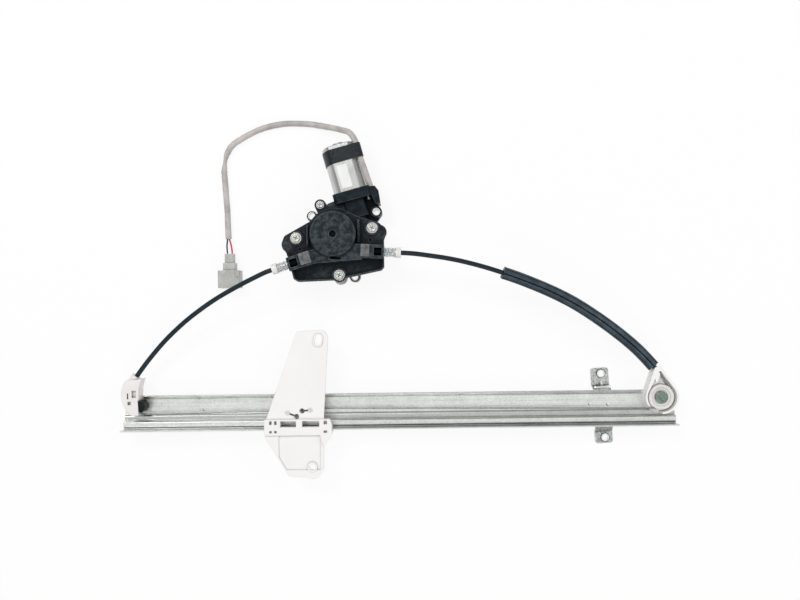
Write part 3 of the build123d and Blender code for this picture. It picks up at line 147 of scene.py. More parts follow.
class Finish:
    """One material with its Principled surface."""

    edge_rounding = 0.0004

    def __init__(self, name):
        self.material = bpy.data.materials.new(name)
        self.material.use_nodes = True
        self.tree = self.material.node_tree
        self.tree.nodes.clear()

    def node(self, kind, settings=None, sockets=None, output=0):
        """Adds one node: its settings first, then a number, colour or link on each named socket."""
        new = self.tree.nodes.new(kind)
        for key, value in (settings or {}).items():
            setattr(new, key, value)
        for key, value in (sockets or {}).items():
            if isinstance(value, Value):
                self.tree.links.new(value.socket, new.inputs[key])
            else:
                new.inputs[key].default_value = value
        return Value(self, new.outputs[output]) if new.outputs else None

    def place(self, stretch=(1.0, 1.0, 1.0), turn=0.0):
        """The point's own place on the object, stretched and turned about the upright axis."""
        spot = self.node("ShaderNodeTexCoord", output="Object")
        turned = self.node("ShaderNodeMapping", {}, {"Vector": spot, "Rotation": (0.0, 0.0, turn)})
        return self.node("ShaderNodeMapping", {}, {"Vector": turned, "Scale": stretch})

    def noise(self, scale, where=None, detail=3.0, roughness=0.55):
        """Smooth noise between 0 and 1; scale is in waves for each metre."""
        return self.node("ShaderNodeTexNoise", {"noise_dimensions": "3D"},
                         {"Vector": where or self.place(), "Scale": scale, "Detail": detail,
                          "Roughness": roughness})

    def split(self, axis):
        """One coordinate of the point's place: 0 along the rail, 1 across it, 2 upright."""
        return self.node("ShaderNodeSeparateXYZ", {}, {"Vector": self.place()}, output=axis)

    def distance(self, spot_mm, counted=(1.0, 1.0, 1.0)):
        """How far the point is from a spot, with only the counted axes."""
        spot = tuple(float(part) * mm * count for part, count in zip(spot_mm, counted))
        return self.node("ShaderNodeVectorMath", {"operation": "DISTANCE"}, {0: self.place(counted), 1: spot},
                         output="Value")

    def cells(self, scale):
        """A random grey for each cell of a Voronoi pattern, as crystals of zinc have."""
        colour = self.node("ShaderNodeTexVoronoi", {"feature": "F1"},
                           {"Vector": self.place(), "Scale": scale}, output="Color")
        return self.node("ShaderNodeRGBToBW", {}, {"Color": colour})

    def ease(self, value, low, high):
        """0 below low, 1 above high and smooth between."""
        return self.node("ShaderNodeMapRange", {"interpolation_type": "SMOOTHSTEP"},
                         {"Value": value, "From Min": low, "From Max": high})

    def blend(self, factor, first, second):
        """Mixes two colours."""
        mix = self.tree.nodes.new("ShaderNodeMix")
        mix.data_type = "RGBA"
        self.tree.links.new(factor.socket, mix.inputs[0])
        for index, colour in ((6, first), (7, second)):
            if isinstance(colour, Value):
                self.tree.links.new(colour.socket, mix.inputs[index])
            else:
                mix.inputs[index].default_value = (*colour, 1.0)
        return Value(self, mix.outputs[2])

    def edges(self, radius=0.0005):
        """1 along edges and 0 on flats, from how far a rounded edge turns away from the flat beside it."""
        rounded = self.node("ShaderNodeBevel", {"samples": 6}, {"Radius": radius})
        flat = self.node("ShaderNodeNewGeometry", output="Normal")
        agreement = self.node("ShaderNodeVectorMath", {"operation": "DOT_PRODUCT"}, {0: rounded, 1: flat},
                              output="Value")
        return self.ease(1 - agreement, 0.004, 0.08)

    def openness(self, reach):
        """1 in the open and 0 deep in a corner or a groove that is narrower than the reach."""
        return self.node("ShaderNodeAmbientOcclusion", {"samples": 6, "only_local": True},
                         {"Distance": reach}, output="AO")

    def bump(self, height, depth, strength):
        """Relief of that depth in metres, on a surface whose edges are rounded a little."""
        rounded = self.node("ShaderNodeBevel", {"samples": 4}, {"Radius": self.edge_rounding})
        return self.node("ShaderNodeBump", {}, {"Height": height, "Distance": depth, "Strength": strength,
                                                "Normal": rounded})

    def surface(self, **values):
        """The Principled surface; a name's underscores stand for spaces."""
        sockets = {key.replace("_", " "): (*value, 1.0) if isinstance(value, tuple) else value
                   for key, value in values.items()}
        shader = self.node("ShaderNodeBsdfPrincipled", {}, sockets)
        self.node("ShaderNodeOutputMaterial", {}, {"Surface": shader})
        return self.material


print("material helpers ready")

# %% [markdown]
# ## Zinc-coated steel
#
# The rail, its bracket and the rear plate are pressed from galvanised sheet. Zinc is a dull, pale metal with
# faint crystals, and the rollers leave long streaks on the rail. The crystals are random greys of a Voronoi
# pattern, the streaks are noise squeezed to long threads. Painted shade darkens the grooves, which the
# openness tells, and bands across the rail where its lip, its steps and the cable leave shade. The edges get
# a painted highlight. A spot weld is a dimple drawn as a crescent of painted shade beside a sliver of painted
# highlight, and the drawn rims round the bracket's holes get a ring of painted highlight with painted shade
# at their foot.

# %% Zinc-coated steel
def zinc_sheet(name, light, dark, streaks, mottle, turn=0.0, roughness=0.26, marks=(), rims=(), shade_bands=()):
    """Streaks, blotches and crystals between a dark and a light grey, with painted shade and painted
    highlight.

    In millimetres: marks are the places of welds, drawn as dimples in painted shade and highlight, rims are a
    place with the inner and outer radius of a ring of painted highlight, and shade_bands are the low and high
    side of a band of painted shade across the rail, with its strength.
    """
    finish = Finish(name)
    patch_share, crystal_share, fine_share = 0.3, 0.12, 0.2
    shade_band_fade = 0.7
    along = finish.noise(1.0, finish.place((9.0, 620.0, 620.0), turn), 4.0, 0.7)
    patches = finish.noise(70.0, None, 5.0, 0.7)
    blotch = finish.noise(420.0, finish.place((1.0, 1.6, 1.0), turn), 4.0, 0.75)
    fine = finish.noise(2300.0, None, 2.0)
    crystal = finish.cells(520.0)
    tone = (along * streaks + blotch * mottle + patches * patch_share + crystal * crystal_share
            + fine * fine_share)
    middle = 0.5 * (streaks + mottle + patch_share + crystal_share + fine_share)
    # painted shade: a darker copy of the dark grey for the grooves, the bands, the weld dimples and the rims'
    # foot
    painted_shade = tuple(0.22 * part for part in dark)
    # painted highlight: a near-white for the edges, the weld dimples' bright sliver and the rims' ring
    painted_highlight = (0.97, 0.98, 0.96)
    colour = finish.blend(finish.ease(tone, middle - 0.24, middle + 0.2), dark, light)
    across = finish.split(1)
    # bands of painted shade across the rail, where its lip, its steps and the cable leave shade
    for low, high, strength in shade_bands:
        shade_band = (finish.ease(across, low * mm, (low + shade_band_fade) * mm)
                * finish.ease(across, high * mm, (high - shade_band_fade) * mm))
        colour = finish.blend(shade_band * (blotch * 0.5 + 0.75) * strength, colour, painted_shade)
    # painted highlight along the edges
    colour = finish.blend(finish.edges() * 0.75, colour, painted_highlight)
    # painted shade in the grooves, from the openness
    colour = finish.blend(finish.ease(finish.openness(0.005), 0.3, 0.85), painted_shade, colour)
    relief = along * 0.4 + fine * 0.25 + blotch * 0.7
    # each weld is a dimple: an offset crescent of painted shade and a sliver of painted highlight, with a
    # real dip in the relief
    for spot in marks:
        near = finish.ease(finish.distance(spot), 0.0019, 0.0014)
        lifted = finish.ease(finish.distance(np.add(spot, (0.7, 0.6, 0.0))), 0.0017, 0.0012)
        colour = finish.blend(near * (1 - lifted) * 0.9, colour, painted_shade)
        colour = finish.blend(near * lifted * 0.4, colour, painted_highlight)
        relief = relief - near * 1.5
    # round each hole: painted shade at the foot of its rim and a ring of painted highlight on top
    for spot, inner, outer in rims:
        away = finish.distance(spot, (1.0, 1.0, 0.0))
        ring = finish.ease(away, (outer + 0.1) * mm, (outer - 0.3) * mm)
        foot = finish.ease(away, (outer + 1.3) * mm, (outer + 0.4) * mm) * (1 - ring)
        colour = finish.blend(foot * 0.8, colour, painted_shade)
        ring_highlight = ring * finish.ease(away, (inner - 0.2) * mm, (inner + 0.2) * mm)
        colour = finish.blend(ring_highlight, colour, painted_highlight)
    return finish.surface(
        Base_Color=colour, Metallic=0.92, Roughness=finish.ease(patches, 0.2, 0.9) * 0.14 + roughness,
        Normal=finish.bump(relief, 0.00012, 0.7))


# the last list holds bands of painted shade along the rail's lip, steps and flange
rail_zinc = zinc_sheet("rail_zinc", (0.95, 0.96, 0.93), (0.62, 0.65, 0.62), 0.5, 0.5,
                       marks=((-14.9, -31.9, 10.0), (4.8, -32.9, 10.0), (-429.4, -33.1, 10.0)),
                       shade_bands=((-43.8, -39.2, 0.34), (-38.8, -37.2, 0.5), (-45.8, -44.0, 0.55),
                              (-53.0, -51.8, 0.3), (-21.6, -19.8, 0.4)))
# the rims give the bracket's two holes rings of painted highlight with painted shade at their foot
bracket_zinc = zinc_sheet("bracket_zinc", (0.80, 0.83, 0.80), (0.17, 0.21, 0.20), 0.1, 0.9, 1.2, 0.30,
                          rims=(((0.0, 0.0, 0.0), 3.1, 4.3), ((3.9, -69.3, 0.0), 3.1, 4.3)))
plate_zinc = zinc_sheet("plate_zinc", (0.86, 0.86, 0.84), (0.52, 0.53, 0.52), 0.3, 0.5)
print("zinc finishes ready")

# %% [markdown]
# ## Moulded plastics
#
# Nylon straight from the mould is never quite even: it is slightly cloudy, and its skin has a very fine
# grain. The white pieces only need a touch of that. The black housings show more of it: glass fibre in the
# nylon leaves pale specks, and dust lies in patches on the open faces but not in the troughs, which the
# openness tells apart, so the troughs keep a darker colour as painted shade. A colour is painted along the
# edges, a painted highlight on the dark and grey pieces and a painted shade on the white ones, and the
# corners get painted shade. On the black rubber the pale specks are painted glints.

# %% Moulded plastics
def moulding(name, colour, shade, roughness, cloud=30.0, specks=0.0, grain=0.00003, gloss=0.5,
             rim=None, corner=None, reach=0.003, dust_and_shade=None, edge=0.0005):
    """Clouds between a shade and the colour, with dust in the open, painted shade in troughs and corners,
    pale specks and a colour painted along the edges.
    """
    finish = Finish(name)
    clouds = finish.noise(cloud, None, 4.0, 0.6)
    skin = finish.noise(3200.0, None, 2.0)
    base = finish.blend(finish.ease(clouds, 0.25, 0.75), shade, colour)
    # dust in patches on the open faces; the troughs, where the openness is low, keep the darker colour as
    # painted shade
    if dust_and_shade:
        grit = finish.noise(190.0, None, 6.0, 0.7) * 0.75 + finish.noise(900.0, None, 4.0, 0.7) * 0.25
        patches = finish.ease(grit, 0.43, 0.6)
        open_air = finish.ease(finish.openness(0.014), 0.55, 0.98)
        base = finish.blend(open_air * (patches * 0.88 + 0.12), base, dust_and_shade)
    # pale specks: glass fibre in the nylon, and painted glints on the black rubber
    if specks:
        dots = finish.ease(finish.noise(1300.0, None, 3.0, 0.7) * 0.6 + clouds * 0.4, 0.52, 0.72)
        fibre_and_glint = tuple(min(1.0, part * 2.6 + 0.05) for part in colour)
        base = finish.blend(dots * specks, base, fibre_and_glint)
    # rim: colour painted along the edges, a painted highlight where lighter than the body and a painted shade
    # where darker
    if rim:
        base = finish.blend(finish.edges(edge) * (clouds * 0.5 + 0.35), base, rim)
    # corner: painted shade in corners and grooves narrower than the reach
    if corner:
        base = finish.blend(finish.ease(finish.openness(reach), 0.3, 0.95), corner, base)
    return finish.surface(
        Base_Color=base, Roughness=clouds * 0.14 + (roughness - 0.07), Specular_IOR_Level=gloss,
        Normal=finish.bump(skin * 0.6 + clouds * 0.8, grain, 0.7))


# on the white pieces rim is painted shade along the edges and corner is painted shade in the corners
white_nylon = moulding("white_nylon", (0.95, 0.94, 0.92), (0.92, 0.90, 0.885), 0.42, 22.0,
                       rim=(0.62, 0.60, 0.59), corner=(0.62, 0.60, 0.59))
guide_nylon = moulding("guide_nylon", (0.92, 0.90, 0.875), (0.84, 0.81, 0.785), 0.40, 45.0,
                       rim=(0.60, 0.58, 0.56), corner=(0.42, 0.40, 0.38))
acetal = moulding("acetal", (0.84, 0.825, 0.805), (0.72, 0.70, 0.675), 0.32, 60.0,
                  rim=(0.62, 0.61, 0.59), corner=(0.46, 0.45, 0.44))
collar_white = moulding("collar_white", (0.90, 0.885, 0.865), (0.80, 0.785, 0.765), 0.38, 80.0,
                        rim=(0.66, 0.65, 0.63), corner=(0.50, 0.49, 0.48))
# on the black and grey pieces rim is a painted highlight along the edges and corner is painted shade
housing_black = moulding("housing_black", (0.004, 0.009, 0.014), (0.0012, 0.004, 0.008), 0.40, 55.0, 0.35,
                         0.00007, 0.14, rim=(0.15, 0.18, 0.20), corner=(0.0005, 0.001, 0.002), reach=0.004,
                         dust_and_shade=(0.054, 0.067, 0.075), edge=0.0011)
gearcase_black = moulding("gearcase_black", (0.003, 0.008, 0.013), (0.0008, 0.003, 0.007), 0.34, 60.0, 0.25,
                          0.00007, 0.14, rim=(0.11, 0.135, 0.15), corner=(0.0005, 0.001, 0.002), reach=0.005,
                          dust_and_shade=(0.014, 0.023, 0.030), edge=0.0011)
plug_grey = moulding("plug_grey", (0.56, 0.565, 0.535), (0.42, 0.425, 0.40), 0.34, 160.0, 0.0, 0.00004,
                     rim=(0.90, 0.90, 0.86), corner=(0.04, 0.04, 0.038), reach=0.004, edge=0.0009)
# the rubber's pale specks are painted glints
rubber_black = moulding("rubber_black", (0.005, 0.009, 0.012), (0.0015, 0.003, 0.005), 0.45, 160.0, 0.3,
                        0.0001, 0.2, rim=(0.06, 0.07, 0.075))
insert_grey = moulding("insert_grey", (0.17, 0.175, 0.18), (0.06, 0.065, 0.07), 0.30, 260.0, 0.3,
                       rim=(0.32, 0.33, 0.33))
cup_black = moulding("cup_black", (0.0015, 0.002, 0.003), (0.0005, 0.001, 0.0015), 0.6, 120.0, gloss=0.05)
print("plastic finishes ready")

# %% [markdown]
# ## Bare metals
#
# The drawn motor can is plated and satin, with the faintest lines along its length. The screws are brighter
# zinc, the rivet is a passivated steel with a green cast, and the worm wheel's shaft, the bushes and the
# blades each have their own metal. All of them are one recipe with other numbers: a metallic surface, a
# roughness that wanders a little and fine lines along one direction. With a reach, the edges also get a
# painted highlight and the corners and recesses painted shade.

# %% Bare metals
motor_angle = radians(-105.2)


def metal(name, light, dark, roughness, lines=(60.0, 60.0, 60.0), turn=0.0, grain=0.00002, metallic=0.9,
          reach=0.0, patch=90.0, gloss=0.5):
    """Fine lines and patches between dark and light; with a reach, a painted highlight on edges and painted
    shade in corners too.
    """
    finish = Finish(name)
    drawn = finish.noise(12.0, finish.place(lines, turn), 4.0, 0.6)
    patches = finish.noise(patch, None, 4.0, 0.6)
    tone = finish.ease(drawn * 0.6 + patches * 0.4, 0.3, 0.7)
    colour = finish.blend(tone, dark, light)
    if reach:
        # painted highlight along the edges and painted shade in corners and recesses
        edge_highlight = tuple(min(1.0, 1.3 * part) for part in light)
        corner_shade = tuple(0.1 * part for part in dark)
        colour = finish.blend(finish.edges() * 0.8, colour, edge_highlight)
        colour = finish.blend(finish.ease(finish.openness(reach), 0.4, 0.9), corner_shade, colour)
    return finish.surface(
        Base_Color=colour, Metallic=metallic, Roughness=patches * 0.16 + (roughness - 0.08),
        Specular_IOR_Level=gloss, Normal=finish.bump(drawn * 0.7 + patches * 0.3, grain, 0.6))


can_steel = metal("can_steel", (0.66, 0.67, 0.65), (0.48, 0.49, 0.48), 0.32, (2.0, 60.0, 60.0), motor_angle,
                  0.00001, 0.85, 0.004)
screw_zinc = metal("screw_zinc", (0.86, 0.86, 0.82), (0.62, 0.63, 0.60), 0.28, reach=0.0016)
rivet_steel = metal("rivet_steel", (0.36, 0.43, 0.37), (0.09, 0.13, 0.11), 0.42, reach=0.002, patch=420.0)
cast_zinc = metal("cast_zinc", (0.86, 0.86, 0.84), (0.62, 0.62, 0.61), 0.46, reach=0.0015)
# a brighter copy of the zinc: a painted highlight for the bracket's pressed ridges
highlight_zinc = metal("highlight_zinc", (0.96, 0.97, 0.95), (0.74, 0.76, 0.74), 0.26, patch=500.0)
spring_steel = metal("spring_steel", (0.46, 0.49, 0.50), (0.30, 0.33, 0.34), 0.38)
shaft_steel = metal("shaft_steel", (0.62, 0.62, 0.61), (0.44, 0.44, 0.44), 0.24)
blackened_steel = metal("blackened_steel", (0.006, 0.007, 0.009), (0.001, 0.0015, 0.002), 0.6, metallic=0.0,
                        gloss=0.08)
sintered_bronze = metal("sintered_bronze", (0.60, 0.44, 0.24), (0.42, 0.30, 0.17), 0.45)
copper_wire = metal("copper_wire", (0.72, 0.34, 0.18), (0.50, 0.20, 0.10), 0.32)
core_steel = metal("core_steel", (0.30, 0.30, 0.31), (0.17, 0.17, 0.18), 0.45)
tinned = metal("tinned", (0.70, 0.68, 0.62), (0.52, 0.50, 0.46), 0.30)
ferrite = metal("ferrite", (0.10, 0.10, 0.11), (0.05, 0.05, 0.055), 0.6, metallic=0.1)
carbon = metal("carbon", (0.06, 0.06, 0.06), (0.03, 0.03, 0.03), 0.6, metallic=0.1)
cable_steel = metal("cable_steel", (0.50, 0.51, 0.50), (0.20, 0.21, 0.21), 0.38)
print("metal finishes ready")

# %% [markdown]
# ## Coverings
#
# A conduit is a steel liner in a black cover; a thicker rubber sleeve guards the part that would rattle in
# the door. The lead has a soft vinyl sleeve, the motor a strip of black tape and a paper sticker. Covers
# that were pulled through a die have lines along the cord, which the pieces themselves carry, so these
# finishes need a slightly uneven skin, with a painted highlight along the edges of the sleeve, the lead and
# the tape and painted shade in the corners of the sleeve and the lead.

# %% Coverings
conduit_cover = moulding("conduit_cover", (0.018, 0.031, 0.040), (0.010, 0.018, 0.024), 0.30, 200.0, 0.0,
                         0.00003, 0.16)
# the sleeve and the lead get a painted highlight along their edges and painted shade in their corners; the
# tape a painted highlight along its edges
sleeve_rubber = moulding("sleeve_rubber", (0.050, 0.078, 0.100), (0.018, 0.031, 0.042), 0.42, 90.0, 0.3,
                         0.00006, 0.3, rim=(0.19, 0.24, 0.27), corner=(0.001, 0.002, 0.003), reach=0.0022)
lead_vinyl = moulding("lead_vinyl", (0.60, 0.565, 0.54), (0.37, 0.345, 0.325), 0.36, 60.0, 0.0, 0.00022,
                      rim=(0.74, 0.71, 0.69), corner=(0.12, 0.11, 0.10), reach=0.0014)
tape_black = moulding("tape_black", (0.010, 0.017, 0.023), (0.002, 0.005, 0.008), 0.28, 90.0, 0.15,
                      0.00045, 0.3, rim=(0.12, 0.14, 0.15))
blank_paper = moulding("blank_paper", (0.92, 0.92, 0.90), (0.84, 0.84, 0.82), 0.55, 90.0, 0.0, 0.00003)
core_blue = moulding("core_blue", (0.02, 0.035, 0.16), (0.008, 0.015, 0.07), 0.4, 200.0)
core_red = moulding("core_red", (0.78, 0.03, 0.035), (0.42, 0.012, 0.018), 0.4, 200.0)

clear = Finish("clear_sleeve")
clear_sleeve = clear.surface(
    Base_Color=(0.90, 0.93, 0.94), Roughness=clear.noise(120.0) * 0.2 + 0.15, IOR=1.45,
    Transmission_Weight=0.8, Normal=clear.bump(clear.noise(260.0), 0.00004, 0.5))
print("coverings ready")

# %% [markdown]
# ## Dressing the solids
#
# Each solid gets its finish by name. A solid arrives as loose triangles with flat faces. Where a round form
# would show facets, its triangles are sewn together: corners at the same place become one corner, found
# with numpy's `unique` on the rounded places, and then the surface is shaded smooth, except along edges
# sharper than a limit. Three of the copies are also reshaped a little, as whole arrays of points: the real
# guide has a waist beside its pocket, the bumper is shorter, and the rail's lip runs further to its ends.

# %% Dressing the solids
def mesh_object(name, points, faces, finish, sharp=radians(35)):
    """Corners (n, 3) and faces (rows of corner numbers) made into an object with smooth shading."""
    mesh = bpy.data.meshes.new(name)
    mesh.from_pydata(points, [], faces)
    mesh.update()
    mesh.shade_smooth()
    mesh.set_sharp_from_angle(angle=sharp)
    mesh.materials.append(finish)
    piece = bpy.data.objects.new(name, mesh)
    bpy.context.scene.collection.objects.link(piece)
    return piece


def corners_and_triangles(node):
    """A solid's corners and triangles as two arrays, with corners at one place made one."""
    mesh = nodes[node].data
    mesh.calc_loop_triangles()
    points = np.empty(len(mesh.vertices) * 3)
    mesh.vertices.foreach_get("co", points)
    triangles = np.empty(len(mesh.loop_triangles) * 3, dtype=int)
    mesh.loop_triangles.foreach_get("vertices", triangles)
    places, number = np.unique(points.reshape(-1, 3).round(7), axis=0, return_inverse=True)
    triangles = number.reshape(-1)[triangles].reshape(-1, 3)
    whole = (triangles[:, 0] != triangles[:, 1]) & (triangles[:, 1] != triangles[:, 2])
    whole &= triangles[:, 0] != triangles[:, 2]
    return places, triangles[whole]


def sew(node, finish, sharp=35.0, worn=None):
    """A smooth copy of a solid with that finish, its points passed through worn, which stands for it."""
    points, triangles = corners_and_triangles(node)
    if worn:
        points = worn(points / mm) * mm
    piece = mesh_object(node + "_smooth", points.tolist(), triangles.tolist(), finish, radians(sharp))
    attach(piece, nodes[node]["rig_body"])
    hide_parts(node)
    return piece


slot_of = {part["node"]: part["material_slot"] for part in frame["record"]["subparts"]}

finish_of = {
    "guide_rail": rail_zinc, "rail_bracket": bracket_zinc, "mount_plate": plate_zinc,
    "cable_guide": guide_nylon, "bumper": rubber_black, "pulley_housing": white_nylon, "pulley": acetal,
    "pulley_rivet": rivet_steel, "glass_carrier": white_nylon, "cable_nipples": cast_zinc,
    "wire_left_run": cable_steel, "wire_right_run": cable_steel, "wire_at_guide": cable_steel,
    "wire_at_pulley": cable_steel, "conduit_left": conduit_cover, "conduit_right": conduit_cover,
    "conduit_sleeve": sleeve_rubber, "gear_housing": gearcase_black, "drum_housing": housing_black,
    "drum_housing_screws": screw_zinc, "case_screw": screw_zinc, "tension_tube_left": clear_sleeve,
    "tension_tube_right": clear_sleeve, "tension_cap_left": collar_white, "tension_cap_right": collar_white,
    "tension_spring_left": spring_steel, "tension_spring_right": spring_steel, "motor_can": can_steel,
    "tape_band": tape_black, "can_label": blank_paper, "lead_wire_left": core_blue,
    "lead_wire_right": core_red, "connector_housing": plug_grey, "terminals": tinned,
    "worm_wheel": acetal, "rubber_pads": rubber_black, "drive_plate": shaft_steel,
    "drive_shaft": blackened_steel, "shaft_bushes": sintered_bronze, "cable_drum": acetal,
    "wound_cable": cable_steel, "housing_wires": cable_steel, "mount_bushes": screw_zinc,
    "magnets": ferrite, "armature_core": core_steel, "armature_coils": copper_wire,
    "commutator": copper_wire, "motor_shaft": shaft_steel, "motor_bushes": sintered_bronze,
    "brush_card": housing_black, "brushes": carbon, "can_screws": screw_zinc,
    "lead_grommet": rubber_black, "lead_sleeve": lead_vinyl,
}
assert set(finish_of) == set(nodes), set(finish_of) ^ set(nodes)
made_anew = {"lead_sleeve", "conduit_sleeve", "wire_left_run", "wire_right_run", "drum_housing_screws",
             "case_screw"}
for node, finish in finish_of.items():
    nodes[node].data.materials.clear()
    nodes[node].data.materials.append(finish)


def waisted_guide(points):
    """x - pull(y) * share(x): the guide's right wall drawn in between its foot and its top."""
    x, y = points[:, 0], points[:, 1]
    pull = np.interp(y, (-24.0, -21.4, -17.5, -9.6, -6.0, -2.4, 2.0), (0.0, 1.6, 4.2, 4.5, 4.6, 1.9, 0.2))
    share = np.clip((x + 496.8) / 3.6, 0.0, 1.0)
    return np.column_stack([x - pull * share, y, points[:, 2]])


def short_bumper(points):
    """x measured from the bumper's seat, times 0.82, with the seat 0.8 mm further back."""
    return np.column_stack([-496.0 + 0.82 * (points[:, 0] + 495.2), points[:, 1:]])


def long_lip(points):
    """The two ends of the rail's turned-up lip moved outwards along the rail."""
    lip_side = -21.5
    x = points[:, 0].copy()
    for end, moved in ((-480.0, -493.5), (34.0, 40.0)):
        x[(points[:, 1] > lip_side) & (np.abs(x - end) < 0.1)] = moved
    return np.column_stack([x, points[:, 1:]])


crisp = {"motor_can": 14.0, "tape_band": 14.0, "guide_rail": 22.0}
reshaped = {"cable_guide": waisted_guide, "bumper": short_bumper, "guide_rail": long_lip}
smooth = {node: sew(node, finish_of[node], crisp.get(node, 35.0), reshaped.get(node))
          for node in sorted(set(nodes) - made_anew)}
print("dressed", len(smooth), "solids")

# %% [markdown]
# ## Tubes along a line
#
# A sleeve, a lead and a stranded cable are all one thing: a closed profile carried along a line. The profile
# is a radius that depends on the angle round the tube and on the distance along it. At each point of the
# line the profile stands square to it; because all the lines here lie nearly flat, the upright direction
# gives every ring the same start, so that ridges run along the tube and don't wind round it.

# %% Tubes along a line
def grid_faces(rings, spokes):
    """Quads between neighbouring rings of one closed tube, and a many-sided face at either end."""
    ring, spoke = np.meshgrid(np.arange(rings - 1), np.arange(spokes), indexing="ij")
    across = (spoke + 1) % spokes
    quads = np.stack([ring * spokes + spoke, ring * spokes + across,
                      (ring + 1) * spokes + across, (ring + 1) * spokes + spoke], -1).reshape(-1, 4)
    ends = [list(range(spokes))[::-1], list(range((rings - 1) * spokes, rings * spokes))]
    return quads.tolist() + ends


def distances(line):
    """Distance along the line at each of its points."""
    return np.concatenate([[0.0], np.cumsum(np.linalg.norm(np.diff(line, axis=0), axis=1))])


def even(line, count):
    """The same line with its points evenly spaced."""
    far = distances(line)
    places = np.linspace(0.0, far[-1], count)
    return np.stack([np.interp(places, far, line[:, axis]) for axis in range(3)], 1)


def tube(line, radius, spokes):
    """Point = line + radius(distance, angle) * (cos(angle) * side + sin(angle) * up), square to the line."""
    along = np.gradient(line, axis=0)
    along /= np.linalg.norm(along, axis=1, keepdims=True)
    side = np.cross((0.0, 0.0, 1.0), along)
    side /= np.linalg.norm(side, axis=1, keepdims=True)
    up = np.cross(along, side)
    angle = np.linspace(0.0, 2 * pi, spokes, endpoint=False)
    size = np.broadcast_to(radius(distances(line)[:, None], angle[None, :]), (len(line), spokes))
    rings = (line[:, None, :] + (size * np.cos(angle))[..., None] * side[:, None, :]
             + (size * np.sin(angle))[..., None] * up[:, None, :])
    return rings.reshape(-1, 3), grid_faces(len(line), spokes)


def ride(piece, body, slot, *replaced):
    """Ties a new piece to a body and hides the solids that it stands for; slot is not used."""
    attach(piece, body)
    if replaced:
        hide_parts(*replaced)
    return piece


print("tube tools ready")

# %% [markdown]
# ## The motor's lead
#
# The lead is a soft grey sleeve over two cores. It climbs out of the gear housing, runs under a band of tape
# beside the motor, falls over the motor's end and lies in a wide bow on the ground. A soft lead has no
# corners, so its line is a NURBS spline: a few control points pull one smooth line along. The order is set
# after the points are there, because a new spline has too few points to take it. The sleeve is a little
# slack over its cores, so it creases in rings where it was bent: each crease is a narrow dip beside a
# narrow swelling. After the tightest bend it is pinched flat from both sides.

# %% The lead's line
lead_radius = 3.2 * mm
lead_points = 700
lead_route_mm = (
    (-246.4, 200.9, 25.5), (-251.3, 215.1, 28.6), (-257.3, 232.1, 29.5), (-264.6, 258.6, 29.5),
    (-280.5, 266.2, 13.5), (-297.2, 271.6, 5.2), (-317.0, 275.0, 3.4), (-339.5, 275.6, 3.4),
    (-362.0, 271.6, 3.4), (-383.0, 262.0, 3.4), (-401.5, 250.0, 3.4), (-406.8, 229.0, 3.4),
    (-404.8, 203.0, 3.4), (-402.9, 176.0, 3.6), (-402.3, 150.8, 4.4),
)


def spline_line(route):
    """Points of the NURBS line that a few control points pull along."""
    curve = bpy.data.curves.new("line", "CURVE")
    curve.dimensions = "3D"
    curve.resolution_u = 24
    spline = curve.splines.new("NURBS")
    spline.points.add(len(route) - 1)
    weighted = np.hstack([np.array(route) * mm, np.ones((len(route), 1))])
    spline.points.foreach_set("co", weighted.ravel())
    spline.order_u = 3
    spline.use_endpoint_u = True
    holder = bpy.data.objects.new("line", curve)
    mesh = bpy.data.meshes.new_from_object(holder)
    points = np.empty(len(mesh.vertices) * 3)
    mesh.vertices.foreach_get("co", points)
    bpy.data.objects.remove(holder)
    return points.reshape(-1, 3)


lead_line = even(spline_line(lead_route_mm), lead_points)
print("lead line", round(distances(lead_line)[-1], 4), "m")

# %% The lead's sleeve
crease_places = np.array([0.052, 0.060, 0.083, 0.108, 0.113, 0.134, 0.158, 0.171, 0.190, 0.203, 0.214,
                          0.237, 0.241, 0.259, 0.281])
crease_depths = np.array([0.05, 0.03, 0.05, 0.07, 0.03, 0.04, 0.05, 0.06, 0.07, 0.09, 0.10,
                          0.12, 0.08, 0.05, 0.03])
crease_slants = np.array([0.001, -0.001, 0.002, -0.002, 0.001, -0.003, 0.003, -0.002, 0.004, 0.003, -0.003,
                          0.003, 0.003, -0.001, 0.001])
crease_width = 0.0012
fold_place, fold_reach = 0.2265, 0.0055


def lead_skin(far, angle):
    """Radius * (1 - creases - fold + slow swelling); a crease is x * exp(-x*x/2) of its slanted place."""
    step = (far[..., None] + crease_slants * np.cos(angle)[..., None] - crease_places) / crease_width
    creases = (crease_depths * step * np.exp(-step * step / 2)).sum(-1)
    fold = 0.5 * np.exp(-((far - fold_place) / fold_reach) ** 2) * np.cos(angle) ** 2
    slow = 0.018 * np.sin(far * 130.0) + 0.02 * np.sin(far * 210.0 + 3 * angle)
    return lead_radius * (1.0 - creases - fold + slow)


lead = mesh_object("lead_sleeve_soft", *tube(lead_line, lead_skin, 28), lead_vinyl, radians(60))
ride(lead, "base", "lead_grey", "lead_sleeve")
print("lead creases", len(crease_places))

# %% [markdown]
# ## The ribbed sleeve
#
# The sleeve on the right conduit is extruded rubber with deep narrow grooves along it, cut off square with a
# knife, so its ends are a little ragged. It follows the spline of the conduit under it, from the place where
# the conduit leaves its second bend to just short of the pulley.

# %% The ribbed sleeve
conduit_route_mm = np.array([
    (-163.0, 124.6, 40.5), (-129.0, 116.0, 37.4), (-90.4, 103.0, 34.8), (-50.0, 86.2, 32.0),
    (-8.0, 60.8, 28.0), (26.0, 34.5, 22.0), (44.7, 17.6, 17.5), (57.8, 1.8, 17.5),
])
sleeve_radius = 6.5 * mm
sleeve_grooves = 7
sleeve_end_gap = 10.0 * mm
sleeve_rings, sleeve_spokes = 260, 84
ragged_by = 0.9 * mm


